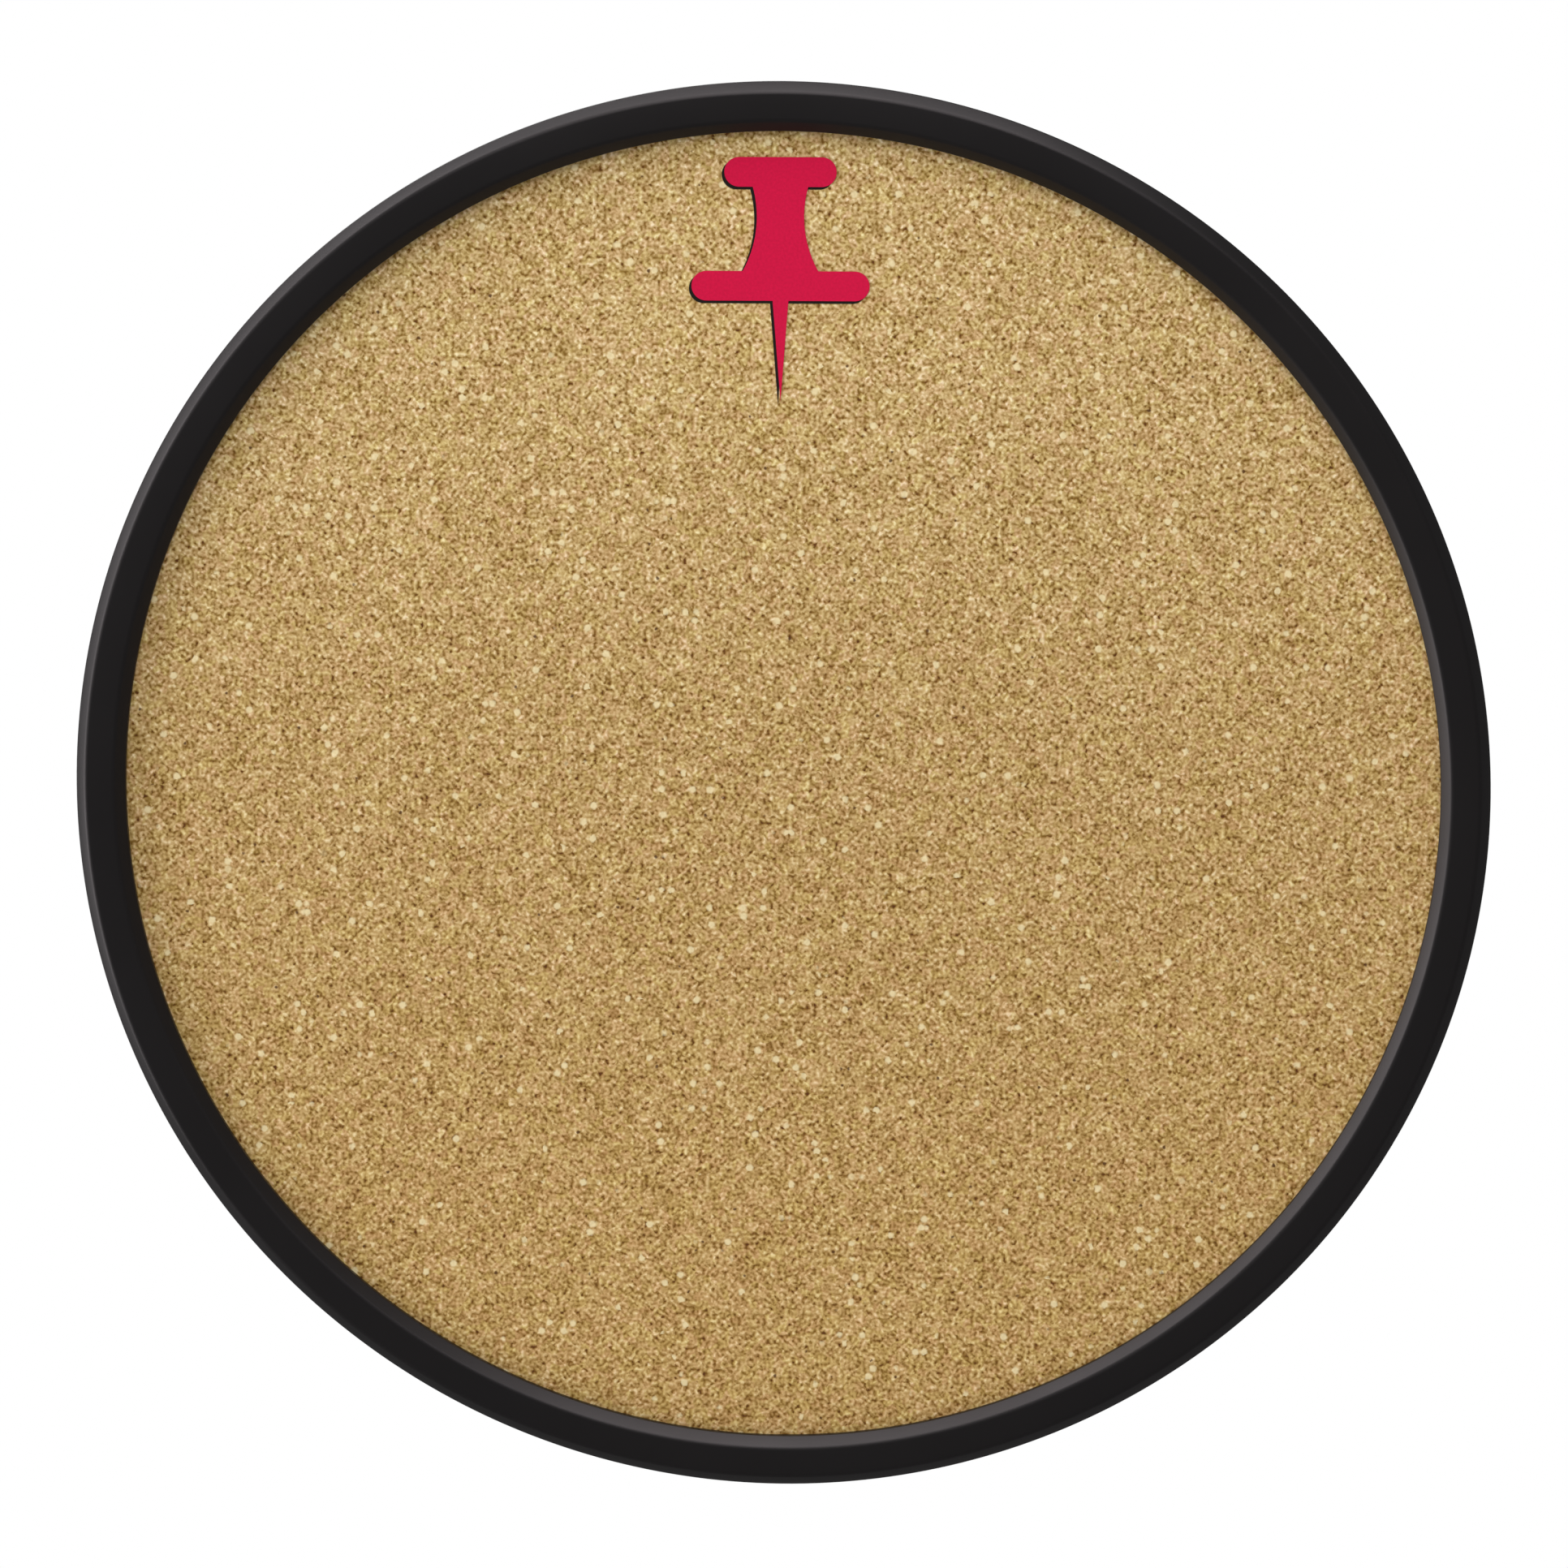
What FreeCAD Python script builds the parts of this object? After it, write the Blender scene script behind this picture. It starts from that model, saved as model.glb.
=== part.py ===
import FreeCAD, Part
import math
import os

# Round cork bulletin board, wall hung, in millimetres.
#
# The board is a disc that faces -Y, with +Z up. The origin is the centre of the plane of the frame's rear
# rim, which is the plane of the wall, so every piece lies at negative Y.
#
# A moulded ring frame has a flat front face with a bevel on both edges. From behind, a cork sheet on a
# hardboard backer drops into the ring's pocket, up to the shoulder of the front lip. Eight turn buttons on
# screws hold it there. Two strap hangers with D-rings hang the board, and four rubber pads in the rim's
# plane grip the wall.
#
# "Station" is the angle round the ring in degrees, from the top towards +X.

# Driving dimensions
FRAME_RADIUS = 215.9
FRAME_DEPTH = 25.4
FACE_WIDTH = 15.15
BEVEL_OUTER = 3.15
BEVEL_INNER = 3.3
BEVEL_ROUND = 2.0
WALL_DRAFT = 1.8
SKIN = 2.0
SKIN_FLARE = 0.5
CORK_THICKNESS = 3.0
BOARD_THICKNESS = 3.0
RECESS_DEPTH = 5.6
LIP_OVERLAP = 3.35
POCKET_CLEARANCE = 0.4
RIM_ROUND = 0.35
SHOULDER_ROUND = 0.8
LIP_ROUND = 0.6
LIP_REAR_ROUND = 0.25
SEAT_ROUND = 0.3

# Places that follow from them
FRONT_Y = -FRAME_DEPTH
CORK_Y = FRONT_Y + RECESS_DEPTH
BOARD_Y = CORK_Y + CORK_THICKNESS
SEAT_Y = BOARD_Y + BOARD_THICKNESS
LIP_RADIUS = FRAME_RADIUS - FACE_WIDTH
INSERT_RADIUS = LIP_RADIUS + LIP_OVERLAP
POCKET_RADIUS = INSERT_RADIUS + POCKET_CLEARANCE

# Channel behind the front face
POCKET_WALL = 1.8
FLOOR_THICKNESS = 2.4
CHANNEL_CHAMFER = 1.5
CHANNEL_RADIUS = POCKET_RADIUS + POCKET_WALL
CHANNEL_FLOOR_Y = FRONT_Y + FLOOR_THICKNESS
RIM_RADIUS = FRAME_RADIUS - WALL_DRAFT
RIB_COUNT = 32
RIB_THICKNESS = 1.4
RIB_DROP = 0.8
RIB_TOP_Y = SEAT_Y - RIB_DROP

# Screws, bosses and the parts they hold
FIXING_RADIUS = 208.8
BOSS_RADIUS = 3.0
SHANK_RADIUS = 1.5
SHANK_LENGTH = 8.0
PILOT_DEPTH = 8.2
HEAD_RADIUS = 2.8
HEAD_HEIGHT = 1.9
HEAD_EDGE_ROUND = 0.2
HEAD_CROWN_ROUND = 1.3
RECESS_SLOT = 0.9
RECESS_LENGTH = 3.2
RECESS_CUT = 1.1
BUTTON_STATIONS = [45.0 * k for k in range(8)]
BUTTON_HEAD_RADIUS = 3.7
BUTTON_TIP_RADIUS = 3.0
BUTTON_TIP_REACH = 11.0
BUTTON_THICKNESS = 1.0
BUTTON_PLAY = 0.1
BUTTON_HOLE_RADIUS = 1.58
TAB_HEIGHT = 2.4
TAB_WIDTH = 4.5
TAB_THICKNESS = 0.9
TAB_ROOT = 1.6
TAB_BEND_ROUND = 0.9
TAB_INNER_ROUND = 0.5
TAB_EDGE_ROUND = 0.4

# Hangers
HANGER_STATIONS = {"left": -22.5, "right": 22.5}
STRAP_SHEET = 0.8
STRAP_HEAD_RADIUS = 3.8
STRAP_WIDTH = 9.0
STRAP_TAPER_END = 10.0
STRAP_REACH = 24.0
STRAP_RAMP_START = 18.5
STRAP_HOLE_RADIUS = 1.6
STRAP_SHOULDER_ROUND = 4.0
STRAP_END_ROUND = 0.3
RING_WIRE_RADIUS = 1.2
RING_CLEARANCE = 0.1
RING_HALF_WIDTH = 7.0
RING_CORNER = 2.2
RING_LEG = 3.0

# Wall pads
PAD_STATIONS = [-157.5, -67.5, 67.5, 157.5]
PAD_RADIUS = 2.8
PAD_THICKNESS = 1.5
PAD_ROUND = 0.5
POST_RADIUS = 3.0
POST_WEB = 1.6
WEB_TOP_Y = -2 * PAD_THICKNESS

# Printed emblem, a plain pushpin
EMBLEM_HEIGHT_Z = 155.8
EMBLEM_TALL = 74.0
BAR_HEIGHT = 9.0
CAP_LENGTH = 34.0
FLANGE_LENGTH = 54.0
FLANGE_Z = -2.0
GRIP_HEAD_HALF = 10.0
GRIP_WAIST_HALF = 7.4
GRIP_FOOT_HALF = 13.0
GRIP_WAIST_Z = 15.0
NEEDLE_HALF = 2.6
NEEDLE_TOP_Z = -4.0
FILM = 0.12
SHADE_SHIFT = 0.8

# How far fused shapes reach into each other, and how far cutting shapes reach past a surface
EMBED = 0.6
OVERCUT = 1.0
Y_AXIS = FreeCAD.Vector(0, 1, 0)
ORIGIN = FreeCAD.Vector(0, 0, 0)


def in_section(u, v):
    """A point of a profile to revolve: u is the radius, v the depth."""
    return FreeCAD.Vector(u, v, 0)


def in_plan(u, v):
    """A point of an outline parallel to the board: u is across, v is up."""
    return FreeCAD.Vector(u, 0, v)


def in_side(u, v):
    """A point of an outline seen from the side: u is the depth, v is up."""
    return FreeCAD.Vector(0, u, v)


def rounded_face(corners, place):
    """A flat face from corners (u, v, radius), with an arc at each corner that has a radius."""
    starts, ends, arcs = [], [], []
    count = len(corners)
    for k, (u, v, radius) in enumerate(corners):
        corner = place(u, v)
        if radius == 0:
            starts.append(corner)
            ends.append(corner)
            continue
        before = (place(*corners[k - 1][:2]) - corner).normalize()
        after = (place(*corners[(k + 1) % count][:2]) - corner).normalize()
        half = before.getAngle(after) / 2
        tangent = radius / math.tan(half)
        middle = corner + (before + after).normalize() * (radius / math.sin(half) - radius)
        starts.append(corner + before * tangent)
        ends.append(corner + after * tangent)
        arcs.append(Part.Arc(starts[-1], middle, ends[-1]).toShape())
    lines = [
        Part.LineSegment(ends[k - 1], starts[k]).toShape()
        for k in range(count)
        if ends[k - 1].distanceToPoint(starts[k]) > 1e-6
    ]
    return Part.Face(Part.Wire(Part.__sortEdges__(lines + arcs)))


def extruded(face, start_y, end_y):
    """A plan face made solid between two depths."""
    solid = face.extrude(Y_AXIS * (end_y - start_y))
    solid.translate(Y_AXIS * start_y)
    return solid


def disc(radius, start_y, end_y, x=0.0, z=0.0):
    """A round plate or post with its axis along Y."""
    return Part.makeCylinder(radius, end_y - start_y, FreeCAD.Vector(x, start_y, z), Y_AXIS)


def block(x_size, y_low, y_high, z_low, z_high):
    """A box that is centred on x = 0."""
    return Part.makeBox(x_size, y_high - y_low, z_high - z_low, FreeCAD.Vector(-x_size / 2, y_low, z_low))


def at_station(shape, station):
    """A copy of a shape modelled at the top of the ring, turned round to a station."""
    turned = shape.copy()
    turned.rotate(ORIGIN, Y_AXIS, station)
    return turned


def station_point(station):
    """Where a fixing at a station is, as x and z."""
    angle = math.radians(station)
    return FIXING_RADIUS * math.sin(angle), FIXING_RADIUS * math.cos(angle)


def one_solid(shape):
    """The single solid of a fused shape, with its split faces merged."""
    merged = shape.removeSplitter()
    if len(merged.Solids) != 1:
        raise ValueError(f"expected one solid, and got {len(merged.Solids)}")
    return merged.Solids[0]


def ring_section():
    """The frame's section: outer wall, bevelled front face, lip, pocket wall and the channel between."""
    bevel_top = FRONT_Y + BEVEL_OUTER
    skin_radius = FRAME_RADIUS - SKIN - SKIN_FLARE
    return rounded_face(
        [
            (RIM_RADIUS, 0, RIM_ROUND),
            (FRAME_RADIUS, bevel_top, SHOULDER_ROUND),
            (FRAME_RADIUS - BEVEL_OUTER, FRONT_Y, BEVEL_ROUND),
            (LIP_RADIUS + BEVEL_INNER, FRONT_Y, BEVEL_ROUND),
            (LIP_RADIUS, FRONT_Y + BEVEL_INNER, LIP_ROUND),
            (LIP_RADIUS, CORK_Y, LIP_REAR_ROUND),
            (POCKET_RADIUS, CORK_Y, 0),
            (POCKET_RADIUS, SEAT_Y, SEAT_ROUND),
            (CHANNEL_RADIUS, SEAT_Y, SEAT_ROUND),
            (CHANNEL_RADIUS, CHANNEL_FLOOR_Y, 0),
            (skin_radius - CHANNEL_CHAMFER, CHANNEL_FLOOR_Y, 0),
            (skin_radius, CHANNEL_FLOOR_Y + CHANNEL_CHAMFER, 0),
            (RIM_RADIUS - SKIN, 0, RIM_ROUND),
        ],
        in_section,
    )


def frame_ring():
    """The moulded ring with its stiffening ribs, screw bosses and pad posts."""
    ring = ring_section().revolve(ORIGIN, Y_AXIS, 360)
    foot_y = CHANNEL_FLOOR_Y - EMBED
    rib = block(RIB_THICKNESS, foot_y, RIB_TOP_Y, CHANNEL_RADIUS - EMBED, RIM_RADIUS - EMBED / 3)
    boss = disc(BOSS_RADIUS, foot_y, SEAT_Y, 0, FIXING_RADIUS)
    web = block(POST_WEB, foot_y, WEB_TOP_Y, FIXING_RADIUS, RIM_RADIUS - SKIN + EMBED)
    post = disc(POST_RADIUS, foot_y, -PAD_THICKNESS, 0, FIXING_RADIUS).fuse(web)
    pilot = disc(SHANK_RADIUS, SEAT_Y - PILOT_DEPTH, SEAT_Y, 0, FIXING_RADIUS)
    screwed = BUTTON_STATIONS + list(HANGER_STATIONS.values())
    added = [at_station(rib, 360.0 / RIB_COUNT * k) for k in range(RIB_COUNT)]
    added += [at_station(boss, station) for station in screwed]
    added += [at_station(post, station) for station in PAD_STATIONS]
    ring = ring.fuse(added)
    ring = ring.cut([at_station(pilot, station) for station in screwed])
    return one_solid(ring)


def cork_sheet():
    """The pinning surface: a disc of cork agglomerate."""
    return disc(INSERT_RADIUS, CORK_Y, BOARD_Y)


def backer_board():
    """The hardboard disc that the cork is glued to."""
    return disc(INSERT_RADIUS, BOARD_Y, SEAT_Y)


def bar(length, z_middle):
    """A flat bar with round ends, as a plan face."""
    half, low, high = length / 2, z_middle - BAR_HEIGHT / 2, z_middle + BAR_HEIGHT / 2
    radius = BAR_HEIGHT / 2 - 0.01
    corners = [(-half, low), (half, low), (half, high), (-half, high)]
    return rounded_face([(u, v, radius) for u, v in corners], in_plan)


def pushpin_outline():
    """The pushpin as plan faces about its own middle: cap, waisted grip, flange and needle."""
    top = EMBLEM_TALL / 2
    cap_z = top - BAR_HEIGHT / 2
    cap = bar(CAP_LENGTH, cap_z)
    flange = bar(FLANGE_LENGTH, FLANGE_Z)
    needle = rounded_face(
        [(-NEEDLE_HALF, NEEDLE_TOP_Z, 0), (NEEDLE_HALF, NEEDLE_TOP_Z, 0), (0, -top, 0)],
        in_plan,
    )
    heads = [in_plan(side * GRIP_HEAD_HALF, cap_z) for side in (-1, 1)]
    waists = [in_plan(side * GRIP_WAIST_HALF, GRIP_WAIST_Z) for side in (-1, 1)]
    feet = [in_plan(side * GRIP_FOOT_HALF, 0) for side in (-1, 1)]
    grip = Part.Face(Part.Wire([
        Part.Arc(heads[1], waists[1], feet[1]).toShape(),
        Part.LineSegment(feet[1], feet[0]).toShape(),
        Part.Arc(feet[0], waists[0], heads[0]).toShape(),
        Part.LineSegment(heads[0], heads[1]).toShape(),
    ]))
    return [cap, grip, flange, needle]


def emblem_layer(shifts, start_y, end_y):
    """One printed layer: the pushpin at each shift, joined."""
    pieces = []
    for shift in shifts:
        for face in pushpin_outline():
            piece = extruded(face, start_y, end_y)
            piece.translate(FreeCAD.Vector(shift, 0, EMBLEM_HEIGHT_Z + shift))
            pieces.append(piece)
    return one_solid(pieces[0].fuse(pieces[1:]))


def emblem_shade():
    """The black layer, which shows as an edge at the left and below."""
    return emblem_layer([0, -SHADE_SHIFT], CORK_Y - FILM, CORK_Y)


def emblem_print():
    """The red layer on top."""
    return emblem_layer([0], CORK_Y - 2 * FILM, CORK_Y - FILM)


def turn_button():
    """A stamped steel turn button at the top station, pointing inwards over the backer."""
    low = SEAT_Y + BUTTON_PLAY
    high = low + BUTTON_THICKNESS
    tip_z = FIXING_RADIUS - BUTTON_TIP_REACH
    lean = math.asin((BUTTON_HEAD_RADIUS - BUTTON_TIP_RADIUS) / BUTTON_TIP_REACH)
    head_x, head_z = BUTTON_HEAD_RADIUS * math.cos(lean), BUTTON_HEAD_RADIUS * math.sin(lean)
    tip_x, tip_up = BUTTON_TIP_RADIUS * math.cos(lean), BUTTON_TIP_RADIUS * math.sin(lean)
    sides = [
        (-head_x, FIXING_RADIUS - head_z, 0),
        (-tip_x, tip_z - tip_up, 0),
        (tip_x, tip_z - tip_up, 0),
        (head_x, FIXING_RADIUS - head_z, 0),
    ]
    plate = extruded(rounded_face(sides, in_plan), low, high)
    plate = plate.fuse([
        disc(BUTTON_HEAD_RADIUS, low, high, 0, FIXING_RADIUS),
        disc(BUTTON_TIP_RADIUS, low, high, 0, tip_z),
    ])
    tab_end = tip_z - BUTTON_TIP_RADIUS
    tab_top = low + TAB_HEIGHT
    tab = rounded_face(
        [
            (low, tab_end + TAB_ROOT, 0),
            (low, tab_end, TAB_BEND_ROUND),
            (tab_top, tab_end, TAB_EDGE_ROUND),
            (tab_top, tab_end + TAB_THICKNESS, TAB_EDGE_ROUND),
            (high, tab_end + TAB_THICKNESS, TAB_INNER_ROUND),
            (high, tab_end + TAB_ROOT, 0),
        ],
        in_side,
    )
    tab = tab.extrude(FreeCAD.Vector(TAB_WIDTH, 0, 0))
    tab.translate(FreeCAD.Vector(-TAB_WIDTH / 2, 0, 0))
    hole = disc(BUTTON_HOLE_RADIUS, low, high, 0, FIXING_RADIUS)
    return one_solid(plate.fuse(tab).cut(hole))


def screw(under_head_y):
    """A pan-head screw with a cross recess at the top station. Its thread is left plain."""
    top = under_head_y + HEAD_HEIGHT
    head = rounded_face(
        [
            (0, under_head_y, 0),
            (HEAD_RADIUS, under_head_y, HEAD_EDGE_ROUND),
            (HEAD_RADIUS, top, HEAD_CROWN_ROUND),
            (0, top, 0),
        ],
        in_section,
    ).revolve(ORIGIN, Y_AXIS, 360)
    shank = disc(SHANK_RADIUS, under_head_y - SHANK_LENGTH, under_head_y)
    slot = block(RECESS_SLOT, top - RECESS_CUT, top + OVERCUT, -RECESS_LENGTH / 2, RECESS_LENGTH / 2)
    cross = slot.fuse(at_station(slot, 90))
    body = head.fuse(shank).cut(cross)
    body.translate(FreeCAD.Vector(0, 0, FIXING_RADIUS))
    return one_solid(body)


def turn_button_screws():
    """The eight screws that the turn buttons pivot on."""
    under_head = SEAT_Y + BUTTON_THICKNESS + 2 * BUTTON_PLAY
    one = screw(under_head)
    return Part.makeCompound([at_station(one, station) for station in BUTTON_STATIONS])


def hanger_screws():
    """The two screws that hold the straps."""
    one = screw(SEAT_Y + 2 * STRAP_SHEET)
    return Part.makeCompound([at_station(one, station) for station in HANGER_STATIONS.values()])


def strap_section():
    """A strap from the side: a strip folded back on itself round the D-ring's bar, screw end at v = 0."""
    inner = RING_WIRE_RADIUS + RING_CLEARANCE
    outer = inner + STRAP_SHEET
    eye_y, eye_z = SEAT_Y + outer, -STRAP_REACH
    fold_y, layers_top = SEAT_Y + STRAP_SHEET, SEAT_Y + 2 * STRAP_SHEET
    ramp_z = -STRAP_RAMP_START

    # The upper layer leaves the others at ramp_z and runs straight to where it is tangent to the eye
    away_y, away_z = layers_top - eye_y, ramp_z - eye_z
    angle = math.atan2(away_y, away_z) + math.acos(outer / math.hypot(away_y, away_z))
    out_y, out_z = math.sin(angle), math.cos(angle)

    layers = [
        (SEAT_Y, ramp_z, 0),
        (SEAT_Y, STRAP_HEAD_RADIUS, STRAP_END_ROUND),
        (layers_top, STRAP_HEAD_RADIUS, STRAP_END_ROUND),
        (layers_top, ramp_z, 0),
    ]
    lower = [(SEAT_Y, ramp_z, 0), (SEAT_Y, eye_z, 0), (fold_y, eye_z, 0), (fold_y, ramp_z, 0)]
    ramp = [
        (layers_top, ramp_z, 0),
        (eye_y + outer * out_y, eye_z + outer * out_z, 0),
        (eye_y + inner * out_y, eye_z + inner * out_z, 0),
        (layers_top - STRAP_SHEET * out_y, ramp_z - STRAP_SHEET * out_z, 0),
        (fold_y, ramp_z, 0),
    ]
    rounds = [
        Part.Face(Part.Wire(Part.makeCircle(radius, FreeCAD.Vector(0, eye_y, eye_z), FreeCAD.Vector(1, 0, 0))))
        for radius in (outer, inner)
    ]
    return [rounded_face(outline, in_side) for outline in (layers, lower, ramp)] + rounds[:1], rounds[1]


def hanger_strap(station):
    """A strap hanger that hangs straight down from its screw, with a tapered screw end."""
    faces, bore = strap_section()
    across = FreeCAD.Vector(STRAP_WIDTH, 0, 0)
    pieces = [face.extrude(across) for face in faces]
    body = pieces[0].fuse(pieces[1:]).cut(bore.extrude(across))
    body.translate(FreeCAD.Vector(-STRAP_WIDTH / 2, 0, 0))
    eye_radius = RING_WIRE_RADIUS + RING_CLEARANCE + STRAP_SHEET
    low, high = SEAT_Y - OVERCUT, SEAT_Y + 2 * eye_radius + OVERCUT
    end = -STRAP_REACH - eye_radius - OVERCUT
    half, head = STRAP_WIDTH / 2, STRAP_HEAD_RADIUS
    plan = rounded_face(
        [
            (-head, 0, 0),
            (-half, -STRAP_TAPER_END, STRAP_SHOULDER_ROUND),
            (-half, end, 0),
            (half, end, 0),
            (half, -STRAP_TAPER_END, STRAP_SHOULDER_ROUND),
            (head, 0, 0),
        ],
        in_plan,
    )
    mask = extruded(plan, low, high).fuse(disc(head, low, high))
    body = body.common(mask).cut(disc(STRAP_HOLE_RADIUS, low, high))
    x, z = station_point(station)
    body.translate(FreeCAD.Vector(x, 0, z))
    return one_solid(body)


def hanger_ring(station):
    """A D-ring of round wire that hangs down from the strap's fold."""
    x, z = station_point(station)
    outer = RING_WIRE_RADIUS + RING_CLEARANCE + STRAP_SHEET
    bar_z = z - STRAP_REACH
    bow_z = bar_z - RING_CORNER - RING_LEG
    half, corner = RING_HALF_WIDTH, RING_CORNER
    diagonal = math.sqrt(0.5)

    def point(u, v):
        return FreeCAD.Vector(x + u, SEAT_Y + outer, v)

    def line(start, end):
        return Part.LineSegment(start, end).toShape()

    def arc(start, middle, end):
        return Part.Arc(start, middle, end).toShape()

    corner_z = bar_z - corner
    near = half - corner
    path = Part.Wire([
        line(point(-near, bar_z), point(near, bar_z)),
        arc(point(near, bar_z), point(near + corner * diagonal, corner_z + corner * diagonal),
            point(half, corner_z)),
        line(point(half, corner_z), point(half, bow_z)),
        arc(point(half, bow_z), point(0, bow_z - half), point(-half, bow_z)),
        line(point(-half, bow_z), point(-half, corner_z)),
        arc(point(-half, corner_z), point(-near - corner * diagonal, corner_z + corner * diagonal),
            point(-near, bar_z)),
    ])
    section = Part.Wire(Part.makeCircle(RING_WIRE_RADIUS, point(-near, bar_z), FreeCAD.Vector(1, 0, 0)))
    return path.makePipeShell([section], True, True)


def wall_pads():
    """Four rubber pads on the posts, level with the rim."""
    pad = rounded_face(
        [(0, -PAD_THICKNESS, 0), (PAD_RADIUS, -PAD_THICKNESS, 0), (PAD_RADIUS, 0, PAD_ROUND), (0, 0, 0)],
        in_section,
    ).revolve(ORIGIN, Y_AXIS, 360)
    pad.translate(FreeCAD.Vector(0, 0, FIXING_RADIUS))
    return Part.makeCompound([at_station(pad, station) for station in PAD_STATIONS])


def build():
    """Every node by name."""
    nodes = {
        "frame_ring": frame_ring(),
        "cork_sheet": cork_sheet(),
        "backer_board": backer_board(),
        "emblem_shade": emblem_shade(),
        "emblem_print": emblem_print(),
        "turn_button_screws": turn_button_screws(),
        "hanger_screws": hanger_screws(),
        "wall_pads": wall_pads(),
    }
    button = turn_button()
    for number, station in enumerate(BUTTON_STATIONS, start=1):
        nodes[f"turn_button_{number}"] = at_station(button, station)
    for side, station in HANGER_STATIONS.items():
        nodes[f"hanger_strap_{side}"] = hanger_strap(station)
        nodes[f"hanger_ring_{side}"] = hanger_ring(station)
    return nodes


os.makedirs("parts", exist_ok=True)
for name, shape in build().items():
    for solid in shape.Solids:
        if not solid.isValid() or solid.Volume <= 0:
            raise ValueError(f"{name} has a bad solid")
    shape.exportStep(f"parts/{name}.step")
    print(f"{name}: {len(shape.Solids)} solid(s), {shape.Volume:.0f} mm3")
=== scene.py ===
"""Round cork bulletin board: its visible pieces, finishes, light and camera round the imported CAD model.

Lengths are metres in the CAD model's frame. The board faces -Y, +Z is up, and the wall is the plane y = 0. A
"station" is an angle round the ring in degrees, from the top towards +X.
"""
import logging
import math
from abc import ABC, abstractmethod
from collections.abc import Callable, Iterable, Iterator
from contextlib import contextmanager
from dataclasses import dataclass
from enum import Enum
from functools import cache

import bmesh
import bpy
from mathutils import Matrix, Vector


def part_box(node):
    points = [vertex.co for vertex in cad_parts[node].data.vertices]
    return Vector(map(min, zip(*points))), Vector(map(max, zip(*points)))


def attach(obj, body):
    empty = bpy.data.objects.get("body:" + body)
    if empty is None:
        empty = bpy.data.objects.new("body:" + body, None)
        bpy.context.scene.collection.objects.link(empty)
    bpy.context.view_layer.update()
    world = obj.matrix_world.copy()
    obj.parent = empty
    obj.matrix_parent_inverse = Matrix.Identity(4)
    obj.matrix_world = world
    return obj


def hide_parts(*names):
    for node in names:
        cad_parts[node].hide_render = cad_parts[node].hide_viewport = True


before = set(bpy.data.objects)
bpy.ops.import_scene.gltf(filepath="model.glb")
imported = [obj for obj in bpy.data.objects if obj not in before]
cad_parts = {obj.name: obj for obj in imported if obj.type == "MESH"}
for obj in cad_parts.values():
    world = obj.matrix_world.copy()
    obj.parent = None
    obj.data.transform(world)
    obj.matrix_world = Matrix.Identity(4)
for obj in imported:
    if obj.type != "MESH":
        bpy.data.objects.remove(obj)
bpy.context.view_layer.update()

MM = 0.001
LOG = logging.getLogger("cork_board")

Piece = bpy.types.Object
Tree = bpy.types.NodeTree
Socket = bpy.types.NodeSocket

# Places that several sub-assemblies share
FIXING_RADIUS = 208.8 * MM
BUTTON_STATIONS = tuple(45.0 * index for index in range(8))
HANGER_STATIONS = (-22.5, 22.5)
PAD_STATIONS = (-157.5, -67.5, 67.5, 157.5)

# A face points along an axis if its normal's share of it is over FACING
FACING = 0.9
# Places nearer than this are the same place
NEAR = 0.01 * MM
# How far a cutting tool stands past what it cuts
OVERCUT = 1 * MM
# A wave texture's bands repeat after this length at a scale of 1
WAVE_PERIOD = 0.314


# ------------------------------------------------------------------------------
# Mesh work


def deselect_all() -> None:
    """Leaves nothing selected, so that the next operator acts on its own piece only."""
    bpy.ops.object.select_all(action="DESELECT")


def open_circle(name: str, segments: int, radius: float, y: float) -> Piece:
    """Adds an open circle that lies in the plane of the board.

    Args:
        name: The piece's name.
        segments: The number of vertices.
        radius: The circle's radius.
        y: Its depth.

    Returns:
        The new piece, with its place in its mesh.
    """
    deselect_all()
    bpy.ops.mesh.primitive_circle_add(
        vertices=segments,
        radius=radius,
        fill_type="NOTHING",
        location=(0, y, 0),
        rotation=(math.pi / 2, 0, 0),
    )
    piece = bpy.context.object
    piece.name = piece.data.name = name
    bpy.ops.object.transform_apply()
    return piece


@contextmanager
def editing(piece: Piece) -> Iterator[Piece]:
    """Puts one piece in edit mode, and leaves edit mode at the end.

    Args:
        piece: The piece to edit.

    Yields:
        The piece.
    """
    deselect_all()
    piece.select_set(True)
    bpy.context.view_layer.objects.active = piece
    bpy.ops.object.mode_set(mode="EDIT")
    yield piece
    bpy.ops.object.mode_set(mode="OBJECT")


def select(piece: Piece, kind: str, wanted: Callable[..., bool]) -> None:
    """Selects, in edit mode, the vertices, edges or faces that a test accepts and nothing else.

    Args:
        piece: The piece in edit mode.
        kind: VERT, EDGE or FACE.
        wanted: The test of one of them.
    """
    bpy.ops.mesh.select_mode(type=kind)
    bpy.ops.mesh.select_all(action="DESELECT")
    mesh = bmesh.from_edit_mesh(piece.data)
    for part in {"VERT": mesh.verts, "EDGE": mesh.edges, "FACE": mesh.faces}[kind]:
        if wanted(part):
            part.select_set(True)
    bmesh.update_edit_mesh(piece.data)


def face_outwards() -> None:
    """Turns every face of the piece in edit mode outwards."""
    bpy.ops.mesh.select_all(action="SELECT")
    bpy.ops.mesh.normals_make_consistent(inside=False)


@dataclass
class Row:
    """A place that an extruded edge or circle comes through."""

    half: float
    y: float
    z: float = 0.0


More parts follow.
